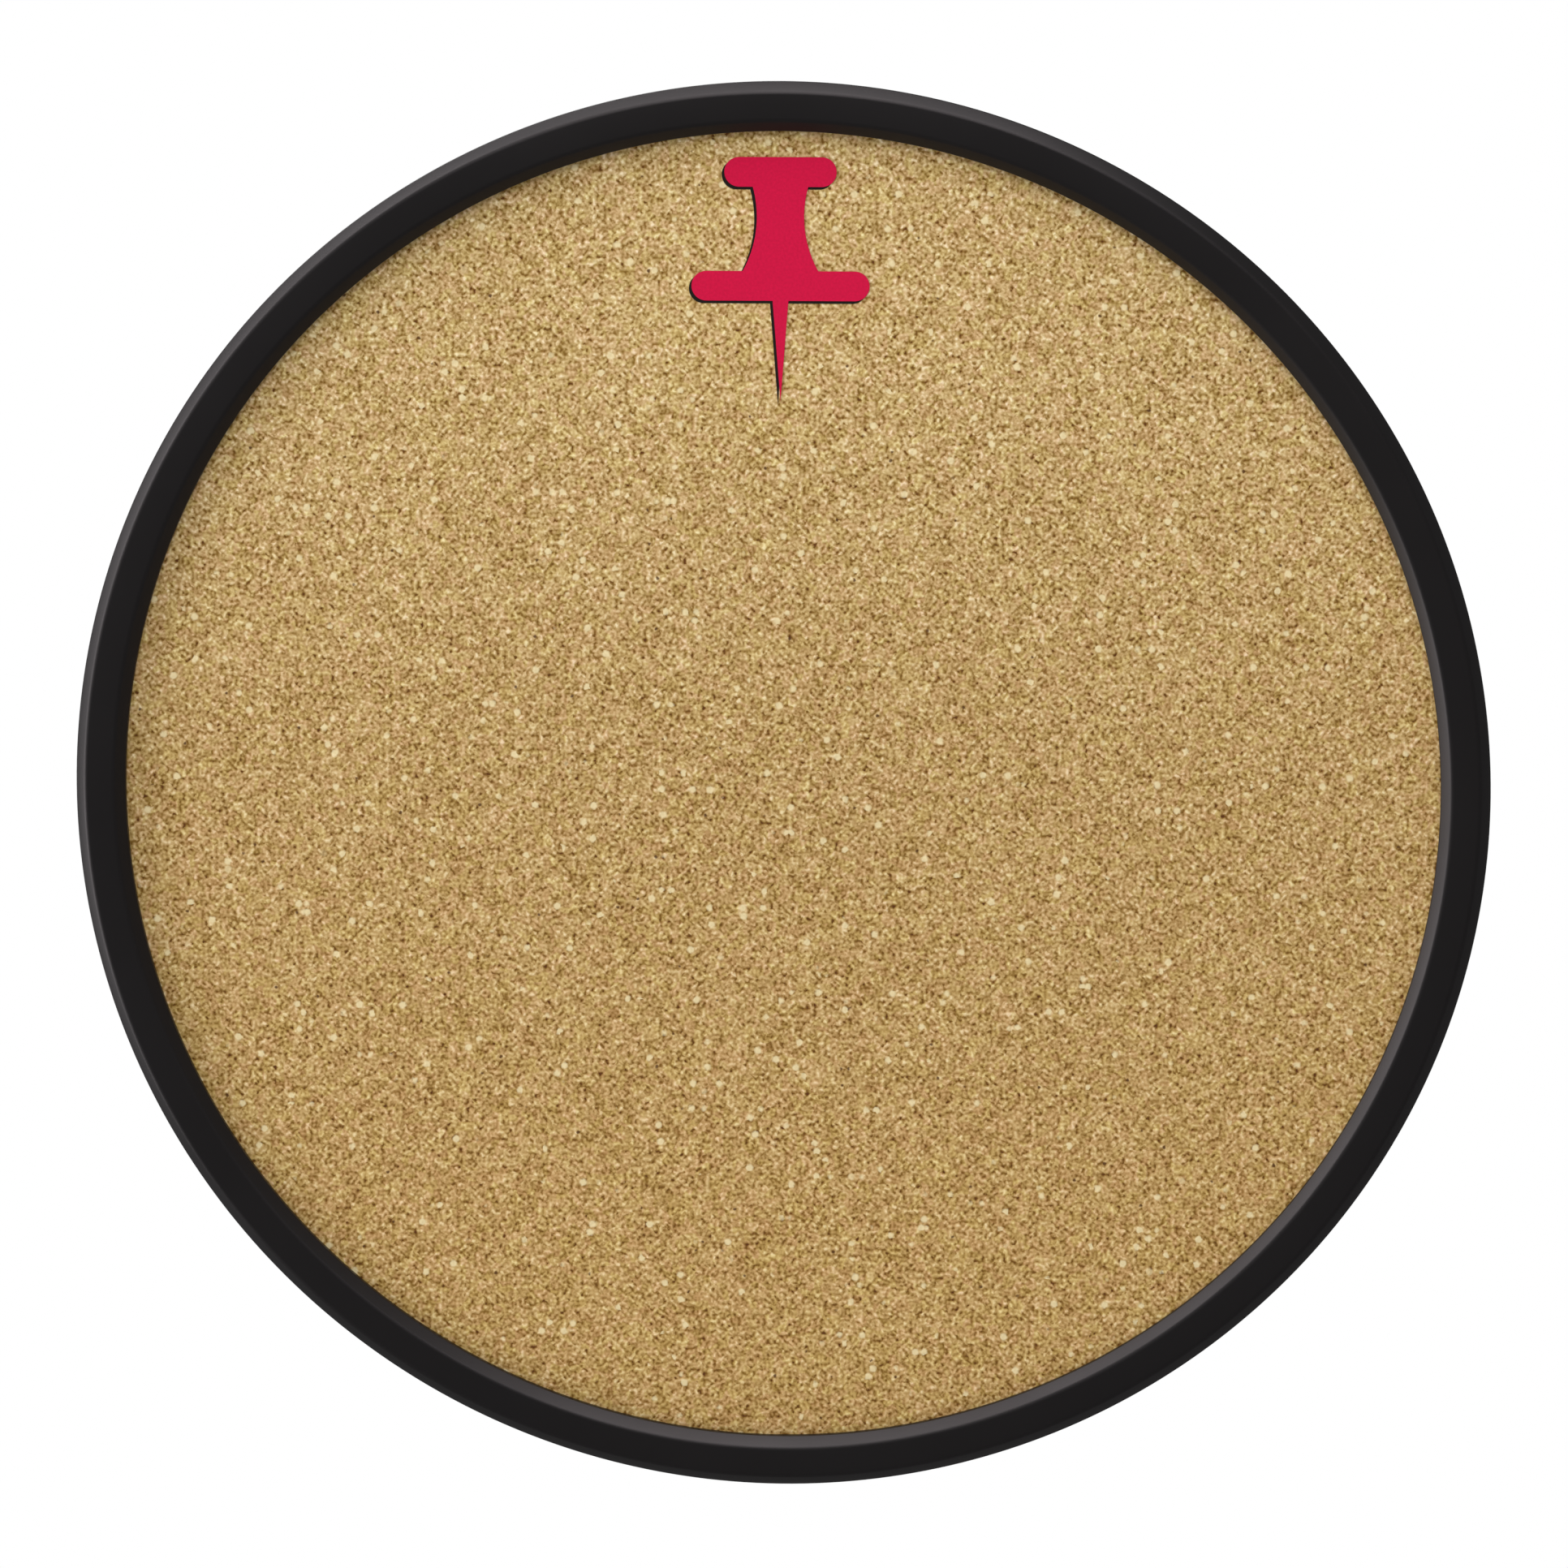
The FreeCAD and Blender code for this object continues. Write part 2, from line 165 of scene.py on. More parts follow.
def extrude_through(rows: list[Row], turned: bool = False) -> None:
    """Extrudes what is selected in edit mode from row to row.

    Args:
        rows: The rows, of which the first is where the selection is.
        turned: Whether it is a circle about the Y axis, so that it is scaled both ways.
    """
    for before, after in zip(rows, rows[1:]):
        bpy.ops.mesh.extrude_edges_move(
            TRANSFORM_OT_translate={"value": (0, after.y - before.y, after.z - before.z)}
        )
        scale = after.half / before.half
        bpy.ops.transform.resize(value=(scale, 1, scale if turned else 1), center_override=(0, 0, 0))


def turned_piece(name: str, sides: int, rows: list[Row]) -> Piece:
    """Makes a closed solid of revolution about the Y axis.

    Args:
        name: The piece's name.
        sides: The number of its sides.
        rows: Its profile, each row a radius and a depth.

    Returns:
        The piece.
    """
    piece = open_circle(name, sides, rows[0].half, rows[0].y)
    with editing(piece):
        bpy.ops.mesh.select_all(action="SELECT")
        extrude_through(rows, turned=True)
        select(piece, "EDGE", lambda edge: edge.is_boundary)
        bpy.ops.mesh.fill_holes(sides=0)
        face_outwards()
    return piece


def quarter_round(radius: float, top: float, size: float, steps: int) -> list[Row]:
    """The rows that round the upper edge of a turned piece.

    Args:
        radius: The piece's radius below the round.
        top: The depth of the piece's top.
        size: The round's own radius.
        steps: The number of rows after the first.

    Returns:
        The rows, the widest first.
    """
    turns = [math.pi / 2 * step / steps for step in range(steps + 1)]
    return [Row(radius - size * (1 - math.cos(turn)), top - size * (1 - math.sin(turn))) for turn in turns]


def shift(piece: Piece, x: float = 0.0, z: float = 0.0) -> None:
    """Moves a piece's mesh parallel to the wall.

    Args:
        piece: The piece.
        x: How far across.
        z: How far up.
    """
    with editing(piece):
        bpy.ops.mesh.select_all(action="SELECT")
        bpy.ops.transform.translate(value=(x, 0, z))


def block(low: tuple[float, float, float], high: tuple[float, float, float]) -> Piece:
    """Makes a block between two corners.

    Args:
        low: Its lowest corner.
        high: Its highest corner.

    Returns:
        The block.
    """
    deselect_all()
    bpy.ops.mesh.primitive_cube_add(
        size=1,
        location=[(a + b) / 2 for a, b in zip(low, high)],
        scale=[b - a for a, b in zip(low, high)],
    )
    bpy.ops.object.transform_apply()
    return bpy.context.object


def post(radius: float, low: float, high: float, z: float, ease: float = 0.0, sides: int = 32) -> Piece:
    """Makes a round post at x = 0 that stands along Y.

    Args:
        radius: Its radius.
        low: The depth of its foot.
        high: The depth of its top.
        z: Its height on the board.
        ease: How far its top edge is rounded.
        sides: The number of its sides.

    Returns:
        The post.
    """
    deselect_all()
    bpy.ops.mesh.primitive_cylinder_add(
        vertices=sides,
        radius=radius,
        depth=high - low,
        location=(0, (low + high) / 2, z),
        rotation=(math.pi / 2, 0, 0),
    )
    piece = bpy.context.object
    bpy.ops.object.transform_apply()
    if ease:
        with editing(piece):
            select(piece, "FACE", lambda face: face.normal.y > FACING)
            bpy.ops.mesh.bevel(offset=ease, segments=3)
    return piece


def modify(piece: Piece, kind: str, **settings: object) -> None:
    """Adds a modifier to a piece and applies it.

    Args:
        piece: The piece.
        kind: The modifier's type.
        **settings: Its settings.
    """
    deselect_all()
    piece.select_set(True)
    bpy.context.view_layer.objects.active = piece
    modifier = piece.modifiers.new(kind.title(), kind)
    for name, value in settings.items():
        setattr(modifier, name, value)
    bpy.ops.object.modifier_apply(modifier=modifier.name)


def at_stations(piece: Piece, stations: Iterable[float]) -> list[Piece]:
    """Copies a piece modelled at the top of the ring to each station, and removes the first.

    Args:
        piece: The piece at station 0.
        stations: The stations.

    Returns:
        The copies, each with its own mesh.
    """
    copies = []
    for station in stations:
        copy = piece.copy()
        copy.data = piece.data.copy()
        copy.data.transform(Matrix.Rotation(math.radians(station), 4, "Y"))
        bpy.context.scene.collection.objects.link(copy)
        copies.append(copy)
    bpy.data.objects.remove(piece)
    return copies


def join(pieces: list[Piece], name: str) -> Piece:
    """Joins pieces into one object.

    Args:
        pieces: The pieces.
        name: The joined piece's name.

    Returns:
        The joined piece.
    """
    deselect_all()
    for piece in pieces:
        piece.select_set(True)
    bpy.context.view_layer.objects.active = pieces[0]
    if len(pieces) > 1:
        bpy.ops.object.join()
    joined = bpy.context.view_layer.objects.active
    joined.name = joined.data.name = name
    return joined


def combine(piece: Piece, tool: Piece, operation: str) -> None:
    """Fuses a tool piece to a piece, or cuts it away, and removes the tool.

    Args:
        piece: The piece that stays.
        tool: The piece that is used up.
        operation: UNION or DIFFERENCE.
    """
    modify(piece, "BOOLEAN", object=tool, operation=operation, solver="MANIFOLD")
    bpy.data.objects.remove(tool)


def smooth(piece: Piece, degrees: float) -> None:
    """Shades a piece smooth, with sharp edges where its faces turn by more than an angle.

    Args:
        piece: The piece.
        degrees: The angle.
    """
    deselect_all()
    piece.select_set(True)
    bpy.context.view_layer.objects.active = piece
    bpy.ops.object.shade_smooth_by_angle(angle=math.radians(degrees))


def install(piece: Piece, finish: "Finish", slot: str, body: str, *nodes: str) -> None:
    """Dresses a new piece, puts it on its body and lets it stand for CAD nodes.

    Args:
        piece: The new piece.
        finish: Its finish.
        slot: The record's material slot; not used.
        body: The CAD body that it rides on.
        *nodes: The CAD nodes that it stands for.
    """
    finish.dress(piece)
    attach(piece, body)
    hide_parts(*nodes)
    LOG.info("%s: %d faces, on %s", piece.name, len(piece.data.polygons), body)


# ------------------------------------------------------------------------------
# Finishes


def linear(colour: str) -> tuple[float, float, float, float]:
    """Turns an sRGB hex colour to linear RGBA.

    Args:
        colour: The colour, such as "#b89964".

    Returns:
        Red, green and blue in linear light, and an alpha of 1.
    """
    channels = [int(colour[start : start + 2], 16) / 255 for start in (1, 3, 5)]
    red, green, blue = [c / 12.92 if c <= 0.04045 else ((c + 0.055) / 1.055) ** 2.4 for c in channels]
    return red, green, blue, 1.0


def add_node(
    tree: Tree,
    kind: str,
    settings: dict[str, object] | None = None,
    inputs: dict[str | int, object] | None = None,
    stops: Iterable[tuple[float, str]] = (),
) -> bpy.types.Node:
    """Adds a node with its settings, its values and its links.

    Args:
        tree: The node tree.
        kind: The node's type, without the ShaderNode that each begins with.
        settings: The node's own settings.
        inputs: A value, or an output socket to link, for each input socket.
        stops: For a colour ramp, each stop's place and its sRGB hex colour.

    Returns:
        The node.
    """
    node = tree.nodes.new(f"ShaderNode{kind}")
    for name, value in (settings or {}).items():
        setattr(node, name, value)
    for key, value in (inputs or {}).items():
        if isinstance(value, Socket):
            tree.links.new(value, node.inputs[key])
        else:
            node.inputs[key].default_value = value
    for index, (place, colour) in enumerate(stops):
        elements = node.color_ramp.elements
        element = elements[index] if index < 2 else elements.new(place)
        element.position = place
        element.color = linear(colour)
    return node


def weighed_sum(tree: Tree, shares: list[tuple[Socket, float]], start: float) -> Socket:
    """Adds patterns up, each by its share.

    Args:
        tree: The node tree.
        shares: Each pattern's socket, with its share.
        start: What they are added to.

    Returns:
        The sum's socket.
    """
    total: object = start
    for source, share in shares:
        inputs = {0: source, 1: share, 2: total}
        total = add_node(tree, "Math", {"operation": "MULTIPLY_ADD"}, inputs).outputs["Value"]
    return total


def wander(tree: Tree, pattern: Socket, low: float, high: float) -> Socket:
    """Makes a value that wanders between two limits with a noise, whose own middle range is 0.3 to 0.7.

    Args:
        tree: The node tree.
        pattern: The noise.
        low: The lower limit.
        high: The upper limit.

    Returns:
        The value's socket.
    """
    limits = {"From Min": 0.3, "From Max": 0.7, "To Min": low, "To Max": high}
    return add_node(tree, "MapRange", inputs={"Value": pattern, **limits}).outputs["Result"]


class Finish(ABC):
    """A finish: what a surface is made of, how it was made and how deep its fine relief is."""

    name: str
    relief_mm: float = 0.0
    relief_strength: float = 0.3

    def dress(self, piece: Piece) -> None:
        """Gives the finish to a piece.

        Args:
            piece: The piece.
        """
        if not piece.material_slots:
            piece.data.materials.append(None)
        for slot in piece.material_slots:
            slot.material = self.material()

    @cache
    def material(self) -> bpy.types.Material:
        """Makes the material, once.

        Returns:
            The material.
        """
        material = bpy.data.materials.new(self.name)
        material.use_nodes = True
        tree = material.node_tree
        tree.nodes.clear()
        shader = add_node(tree, "BsdfPrincipled")
        add_node(tree, "OutputMaterial", inputs={"Surface": shader.outputs["BSDF"]})
        place = add_node(tree, "TexCoord")
        millimetres = add_node(
            tree,
            "Mapping",
            inputs={"Vector": place.outputs["Object"], "Scale": (1 / MM, 1 / MM, 1 / MM)},
        )
        height = self.wire(tree, shader, millimetres.outputs["Vector"])
        if height is not None:
            bump = add_node(
                tree,
                "Bump",
                inputs={"Height": height, "Strength": self.relief_strength, "Distance": self.relief_mm * MM},
            )
            tree.links.new(bump.outputs["Normal"], shader.inputs["Normal"])
        return material

    @abstractmethod
    def wire(self, tree: Tree, shader: bpy.types.Node, place: Socket) -> Socket | None:
        """Adds the finish's nodes.

        Args:
            tree: The material's node tree.
            shader: The Principled shader.
            place: Object coordinates in millimetres.

        Returns:
            The height of the finish's relief, or None if it has none.
        """


@dataclass(frozen=True)
class MouldedAbs(Finish):
    """Black ABS, injection moulded in a spark-eroded tool: an even satin with a fine dry grain."""

    name: str = "moulded_black_abs"
    colour: str = "#080808"
    sheen: str = "#fff3f6"
    ior: float = 1.53
    specular: float = 0.3
    roughness: float = 0.4
    gloss_spread: float = 0.03
    flow_mm: float = 35.0
    grain_mm: float = 0.35
    relief_mm: float = 0.03
    relief_strength: float = 0.18

    def wire(self, tree: Tree, shader: bpy.types.Node, place: Socket) -> Socket | None:
        """Adds the finish's nodes.

        Args:
            tree: The material's node tree.
            shader: The Principled shader.
            place: Object coordinates in millimetres.

        Returns:
            The height of the finish's relief, or None if it has none.
        """
        grain = add_node(
            tree, "TexNoise", inputs={"Vector": place, "Scale": 1 / self.grain_mm, "Detail": 2.0}
        )
        # Gloss is a little uneven over some centimetres, where the melt met the tool at different heats
        flow = add_node(
            tree, "TexNoise", inputs={"Vector": place, "Scale": 1 / self.flow_mm, "Detail": 3.0}
        )
        low, high = self.roughness - self.gloss_spread, self.roughness + self.gloss_spread
        shader.inputs["Base Color"].default_value = linear(self.colour)
        shader.inputs["IOR"].default_value = self.ior
        shader.inputs["Specular IOR Level"].default_value = self.specular
        shader.inputs["Specular Tint"].default_value = linear(self.sheen)
        tree.links.new(wander(tree, flow.outputs["Fac"], low, high), shader.inputs["Roughness"])
        return grain.outputs["Fac"]


@dataclass(frozen=True)
class Bits:
    """Small bits of another tone at the middle of some flakes.

    Each flake has a random number from 0 to 1. At `none` it holds no bit, and from `full` on a whole one.
    """

    colour: str
    radius_mm: float
    none: float
    full: float
    cover: float = 0.85


@dataclass(frozen=True)
class AgglomeratedCork(Finish):
    """Ground cork bark, glued, pressed and sanded: matte tan granules of many tones, with bits of bark."""

    name: str = "pressed_sanded_cork"
    granule_mm: tuple[float, float] = (1.9, 0.85)
    leans: tuple[float, ...] = (40.0, -48.0)
    flake_mm: float = 2.6
    pore_mm: float = 1.1
    tear_mm: float = 0.9
    tear_reach_mm: float = 0.8
    granule_share: float = 0.28
    flake_share: float = 0.05
    pore_share: float = 0.92
    # Half the height over which the painted shade runs, from dark and warm at the bottom to plain at the top
    painted_shade_span_mm: float = 130.0
    bark: Bits = Bits(colour="#482404", radius_mm=0.5, none=0.978, full=0.98)
    dry_cork: Bits = Bits(colour="#e2d0a2", radius_mm=1.05, none=0.052, full=0.05)
    bit_edge: float = 0.25
    relief_mm: float = 0.25
    relief_strength: float = 0.5

    def wire(self, tree: Tree, shader: bpy.types.Node, place: Socket) -> Socket | None:
        """Adds the finish's nodes.

        Args:
            tree: The material's node tree.
            shader: The Principled shader.
            place: Object coordinates in millimetres.

        Returns:
            The height of the finish's relief, or None if it has none.
        """
        # Granules are torn, not cut, so their cells are warped by a finer noise
        warp = add_node(
            tree, "TexNoise", inputs={"Vector": place, "Scale": 1 / self.tear_mm, "Detail": 1.0}
        )
        torn = add_node(
            tree,
            "VectorMath",
            {"operation": "MULTIPLY_ADD"},
            {0: warp.outputs["Color"], 1: (self.tear_reach_mm,) * 3, 2: place},
        )
        # The press leaves them lying both ways across the sheet, longer than wide
        length, width = self.granule_mm
        shares = []
        for lean in self.leans:
            lie = add_node(
                tree,
                "Mapping",
                {"vector_type": "TEXTURE"},
                {
                    "Vector": torn.outputs["Vector"],
                    "Rotation": (0, math.radians(lean), 0),
                    "Scale": (length, width, width),
                },
            )
            granule = add_node(
                tree, "TexVoronoi", inputs={"Vector": lie.outputs["Vector"], "Scale": 1.0}
            )
            tones = add_node(tree, "SeparateColor", inputs={"Color": granule.outputs["Color"]})
            shares.append((tones.outputs["Red"], self.granule_share))
        flake = add_node(
            tree,
            "TexVoronoi",
            inputs={"Vector": torn.outputs["Vector"], "Scale": 1 / self.flake_mm},
        )
        pores = add_node(
            tree, "TexNoise", inputs={"Vector": place, "Scale": 1 / self.pore_mm, "Detail": 0.0}
        )
        flake_tone = add_node(tree, "SeparateColor", inputs={"Color": flake.outputs["Color"]})

        shares += [(flake_tone.outputs["Red"], self.flake_share), (pores.outputs["Fac"], self.pore_share)]
        # The start keeps the mean tone at the middle of the ramp
        tone = weighed_sum(tree, shares, 0.5 * (1 - sum(share for _, share in shares)))
        colour = add_node(
            tree,
            "ValToRGB",
            inputs={"Fac": tone},
            stops=(
                (0.05, "#5c3002"),
                (0.22, "#876324"),
                (0.38, "#a88751"),
                (0.52, "#bf9e69"),
                (0.70, "#d4b785"),
                (0.92, "#f0dbb4"),
            ),
        )
        # Some flakes lean to pink and some to straw
        hue = add_node(
            tree,
            "ValToRGB",
            inputs={"Fac": flake_tone.outputs["Green"]},
            stops=((0.0, "#f8fde6"), (0.5, "#fafdfb"), (1.0, "#fcf6fa")),
        )
        # Painted shade: the sheet is a little darker and warmer lower down, standing in for light that falls
        # from above
        axes = add_node(tree, "SeparateXYZ", inputs={"Vector": place})
        height = add_node(
            tree,
            "MapRange",
            inputs={"Value": axes.outputs["Z"], "From Min": -self.painted_shade_span_mm, "From Max": self.painted_shade_span_mm},
        )
        painted_shade_ramp = add_node(
            tree,
            "ValToRGB",
            inputs={"Fac": height.outputs["Result"]},
            stops=((0.0, "#f6eedf"), (0.5, "#f6f1e9"), (1.0, "#ffffff")),
        )
        tinted = colour.outputs["Color"]
        # Each tint multiplies the colour: first the flakes' random hue, then the painted shade
        for tint in (hue, painted_shade_ramp):
            product = add_node(
                tree,
                "Mix",
                {"data_type": "RGBA", "blend_type": "MULTIPLY"},
                {0: 1.0, 6: tinted, 7: tint.outputs["Color"]},
            )
            tinted = product.outputs[2]
        # A few flakes hold a small dark bit of bark, and a few a broad pale bit of dry cork, with soft edges
        for bits in (self.bark, self.dry_cork):
            reach = bits.radius_mm / self.flake_mm
            spot = add_node(
                tree,
                "MapRange",
                inputs={
                    "Value": flake.outputs["Distance"],
                    "From Min": (1 + self.bit_edge) * reach,
                    "From Max": (1 - self.bit_edge) * reach,
                },
            )
            chosen = add_node(
                tree,
                "MapRange",
                inputs={
                    "Value": flake_tone.outputs["Blue"],
                    "From Min": bits.none,
                    "From Max": bits.full,
                    "To Max": bits.cover,
                },
            )
            amount = add_node(
                tree,
                "Math",
                {"operation": "MULTIPLY"},
                {0: spot.outputs["Result"], 1: chosen.outputs["Result"]},
            )
            mix = add_node(
                tree,
                "Mix",
                {"data_type": "RGBA"},
                {0: amount.outputs["Value"], 6: tinted, 7: linear(bits.colour)},
            )
            tinted = mix.outputs[2]
        tree.links.new(tinted, shader.inputs["Base Color"])
        shader.inputs["Roughness"].default_value = 0.9
        shader.inputs["IOR"].default_value = 1.4
        return tone


class InkColour(Enum):
    """The emblem's two inks."""

    RED = "#c30a3c"
    BLACK = "#18130f"


@dataclass(frozen=True)
class ScreenInk(Finish):
    """Screen-printing ink, laid thick: a flat even colour that keeps a little of the cork's grain."""

    ink: InkColour
    grain_mm: float = 0.8
    thinnest: float = 0.9
    thickest: float = 1.06
    relief_mm: float = 0.1

    @property
    def name(self) -> str:
        """The material's name."""
        return f"screen_ink_{self.ink.name.lower()}"

    def wire(self, tree: Tree, shader: bpy.types.Node, place: Socket) -> Socket | None:
        """Adds the finish's nodes.

        Args:
            tree: The material's node tree.
            shader: The Principled shader.
            place: Object coordinates in millimetres.

        Returns:
            The height of the finish's relief, or None if it has none.
        """
        cover = add_node(
            tree, "TexNoise", inputs={"Vector": place, "Scale": 1 / self.grain_mm, "Detail": 3.0}
        )
        tone = wander(tree, cover.outputs["Fac"], self.thinnest, self.thickest)
        colour = add_node(
            tree,
            "VectorMath",
            {"operation": "SCALE"},
            {0: linear(self.ink.value)[:3], "Scale": tone},
        )
        tree.links.new(colour.outputs["Vector"], shader.inputs["Base Color"])
        shader.inputs["Roughness"].default_value = 0.8
        shader.inputs["Specular IOR Level"].default_value = 0.15
        return cover.outputs["Fac"]


@dataclass(frozen=True)
class Hardboard(Finish):
    """Tempered hardboard, screen side out: brown pressed fibre that keeps the print of the press's mesh."""

    name: str = "hardboard_screen_side"
    mesh_mm: float = 1.6
    fibre_mm: tuple[float, float] = (1.8, 0.4)
    fibre_leans: tuple[float, float] = (28.0, -52.0)
    blotch_mm: float = 60.0
    fibre_share: float = 0.5
    blotch_share: float = 0.22
    mesh_share: float = -0.14
    mesh_relief: float = -0.6
    relief_mm: float = 0.15
    relief_strength: float = 0.5

    def wire(self, tree: Tree, shader: bpy.types.Node, place: Socket) -> Socket | None:
        """Adds the finish's nodes.

        Args:
            tree: The material's node tree.
            shader: The Principled shader.
            place: Object coordinates in millimetres.

        Returns:
            The height of the finish's relief, or None if it has none.
        """
        # Fibres lie every way, so two stretched noises cross
        length, width = self.fibre_mm
        shares = []
        for lean in self.fibre_leans:
            lie = add_node(
                tree,
                "Mapping",
                {"vector_type": "TEXTURE"},
                {
                    "Vector": place,
                    "Rotation": (0, math.radians(lean), 0),
                    "Scale": (length, width, width),
                },
            )
            fibre = add_node(
                tree,
                "TexNoise",
                inputs={"Vector": lie.outputs["Vector"], "Scale": 1.0, "Detail": 4.0, "Roughness": 0.6},
            )
            shares.append((fibre.outputs["Fac"], self.fibre_share))
        blotch = add_node(
            tree, "TexNoise", inputs={"Vector": place, "Scale": 1 / self.blotch_mm, "Detail": 2.0}
        )
        wires = [
            add_node(
                tree,
                "TexWave",
                {"bands_direction": axis},
                {"Vector": place, "Scale": WAVE_PERIOD / self.mesh_mm},
            )
            for axis in "XZ"
        ]
        mesh = add_node(
            tree,
            "Math",
            {"operation": "MAXIMUM"},
            {0: wires[0].outputs["Fac"], 1: wires[1].outputs["Fac"]},
        )
        shares += [(blotch.outputs["Fac"], self.blotch_share), (mesh.outputs["Value"], self.mesh_share)]
        tone = weighed_sum(tree, shares, 0.0)
        colour = add_node(
            tree,
            "ValToRGB",
            inputs={"Fac": tone},
            stops=((0.36, "#4c3221"), (0.51, "#6b4a31"), (0.66, "#8c6a48")),
        )
        relief = add_node(
            tree,
            "Math",
            {"operation": "MULTIPLY_ADD"},
            {0: mesh.outputs["Value"], 1: self.mesh_relief, 2: tone},
        )
        tree.links.new(colour.outputs["Color"], shader.inputs["Base Color"])
        shader.inputs["Roughness"].default_value = 0.72
        return relief.outputs["Value"]


@dataclass(frozen=True)
class PlatedSteel(Finish):
    """Plated mild steel: a metal skin that shows the rolling or drawing marks under it."""

    name: str
    colour: str
    roughness: float
    mark_mm: float
    bath_mm: float = 4.0
    smoothest: float = -0.06
    dullest: float = 0.08
    relief_mm: float = 0.02
    relief_strength: float = 0.2

    def wire(self, tree: Tree, shader: bpy.types.Node, place: Socket) -> Socket | None:
        """Adds the finish's nodes.

        Args:
            tree: The material's node tree.
            shader: The Principled shader.
            place: Object coordinates in millimetres.

        Returns:
            The height of the finish's relief, or None if it has none.
        """
        marks = add_node(
            tree, "TexNoise", inputs={"Vector": place, "Scale": 1 / self.mark_mm, "Detail": 3.0}
        )
        # The plating bath leaves the gloss a little uneven
        bath = add_node(
            tree, "TexNoise", inputs={"Vector": place, "Scale": 1 / self.bath_mm, "Detail": 2.0}
        )
        low, high = self.roughness + self.smoothest, self.roughness + self.dullest
        shader.inputs["Base Color"].default_value = linear(self.colour)
        shader.inputs["Metallic"].default_value = 1.0
        tree.links.new(wander(tree, bath.outputs["Fac"], low, high), shader.inputs["Roughness"])
        return marks.outputs["Fac"]


@dataclass(frozen=True)
class Rubber(Finish):
    """Black moulded rubber: matte, with a faint grey bloom."""

    name: str = "black_moulded_rubber"
    bloom_mm: float = 1.5
    relief_mm: float = 0.05

    def wire(self, tree: Tree, shader: bpy.types.Node, place: Socket) -> Socket | None:
        """Adds the finish's nodes.

        Args:
            tree: The material's node tree.
            shader: The Principled shader.
            place: Object coordinates in millimetres.

        Returns:
            The height of the finish's relief, or None if it has none.
        """
        bloom = add_node(
            tree, "TexNoise", inputs={"Vector": place, "Scale": 1 / self.bloom_mm, "Detail": 4.0}
        )
        colour = add_node(
            tree,
            "ValToRGB",
            inputs={"Fac": bloom.outputs["Fac"]},
            stops=((0.35, "#161616"), (0.75, "#2a2927")),
        )
        tree.links.new(colour.outputs["Color"], shader.inputs["Base Color"])
        shader.inputs["Roughness"].default_value = 0.85
        shader.inputs["IOR"].default_value = 1.52
        return bloom.outputs["Fac"]


@dataclass(frozen=True)
class PaintedFloor(Finish):
    """A studio floor in pale matte paint."""

    name: str = "studio_floor_paint"
    colour: str = "#ececec"

    def wire(self, tree: Tree, shader: bpy.types.Node, place: Socket) -> Socket | None:
        """Adds the finish's nodes.

        Args:
            tree: The material's node tree; not used.
            shader: The Principled shader.
            place: Object coordinates in millimetres; not used.

        Returns:
            The height of the finish's relief, or None if it has none.
        """
        shader.inputs["Base Color"].default_value = linear(self.colour)
        shader.inputs["Roughness"].default_value = 0.9
        return None


# ------------------------------------------------------------------------------
# Sub-assemblies


@dataclass
class SectionPoint:
    """A corner of the ring's section, and how far along its faces the corner's round begins."""

    radius: float
    y: float
    ease: float = 0.0


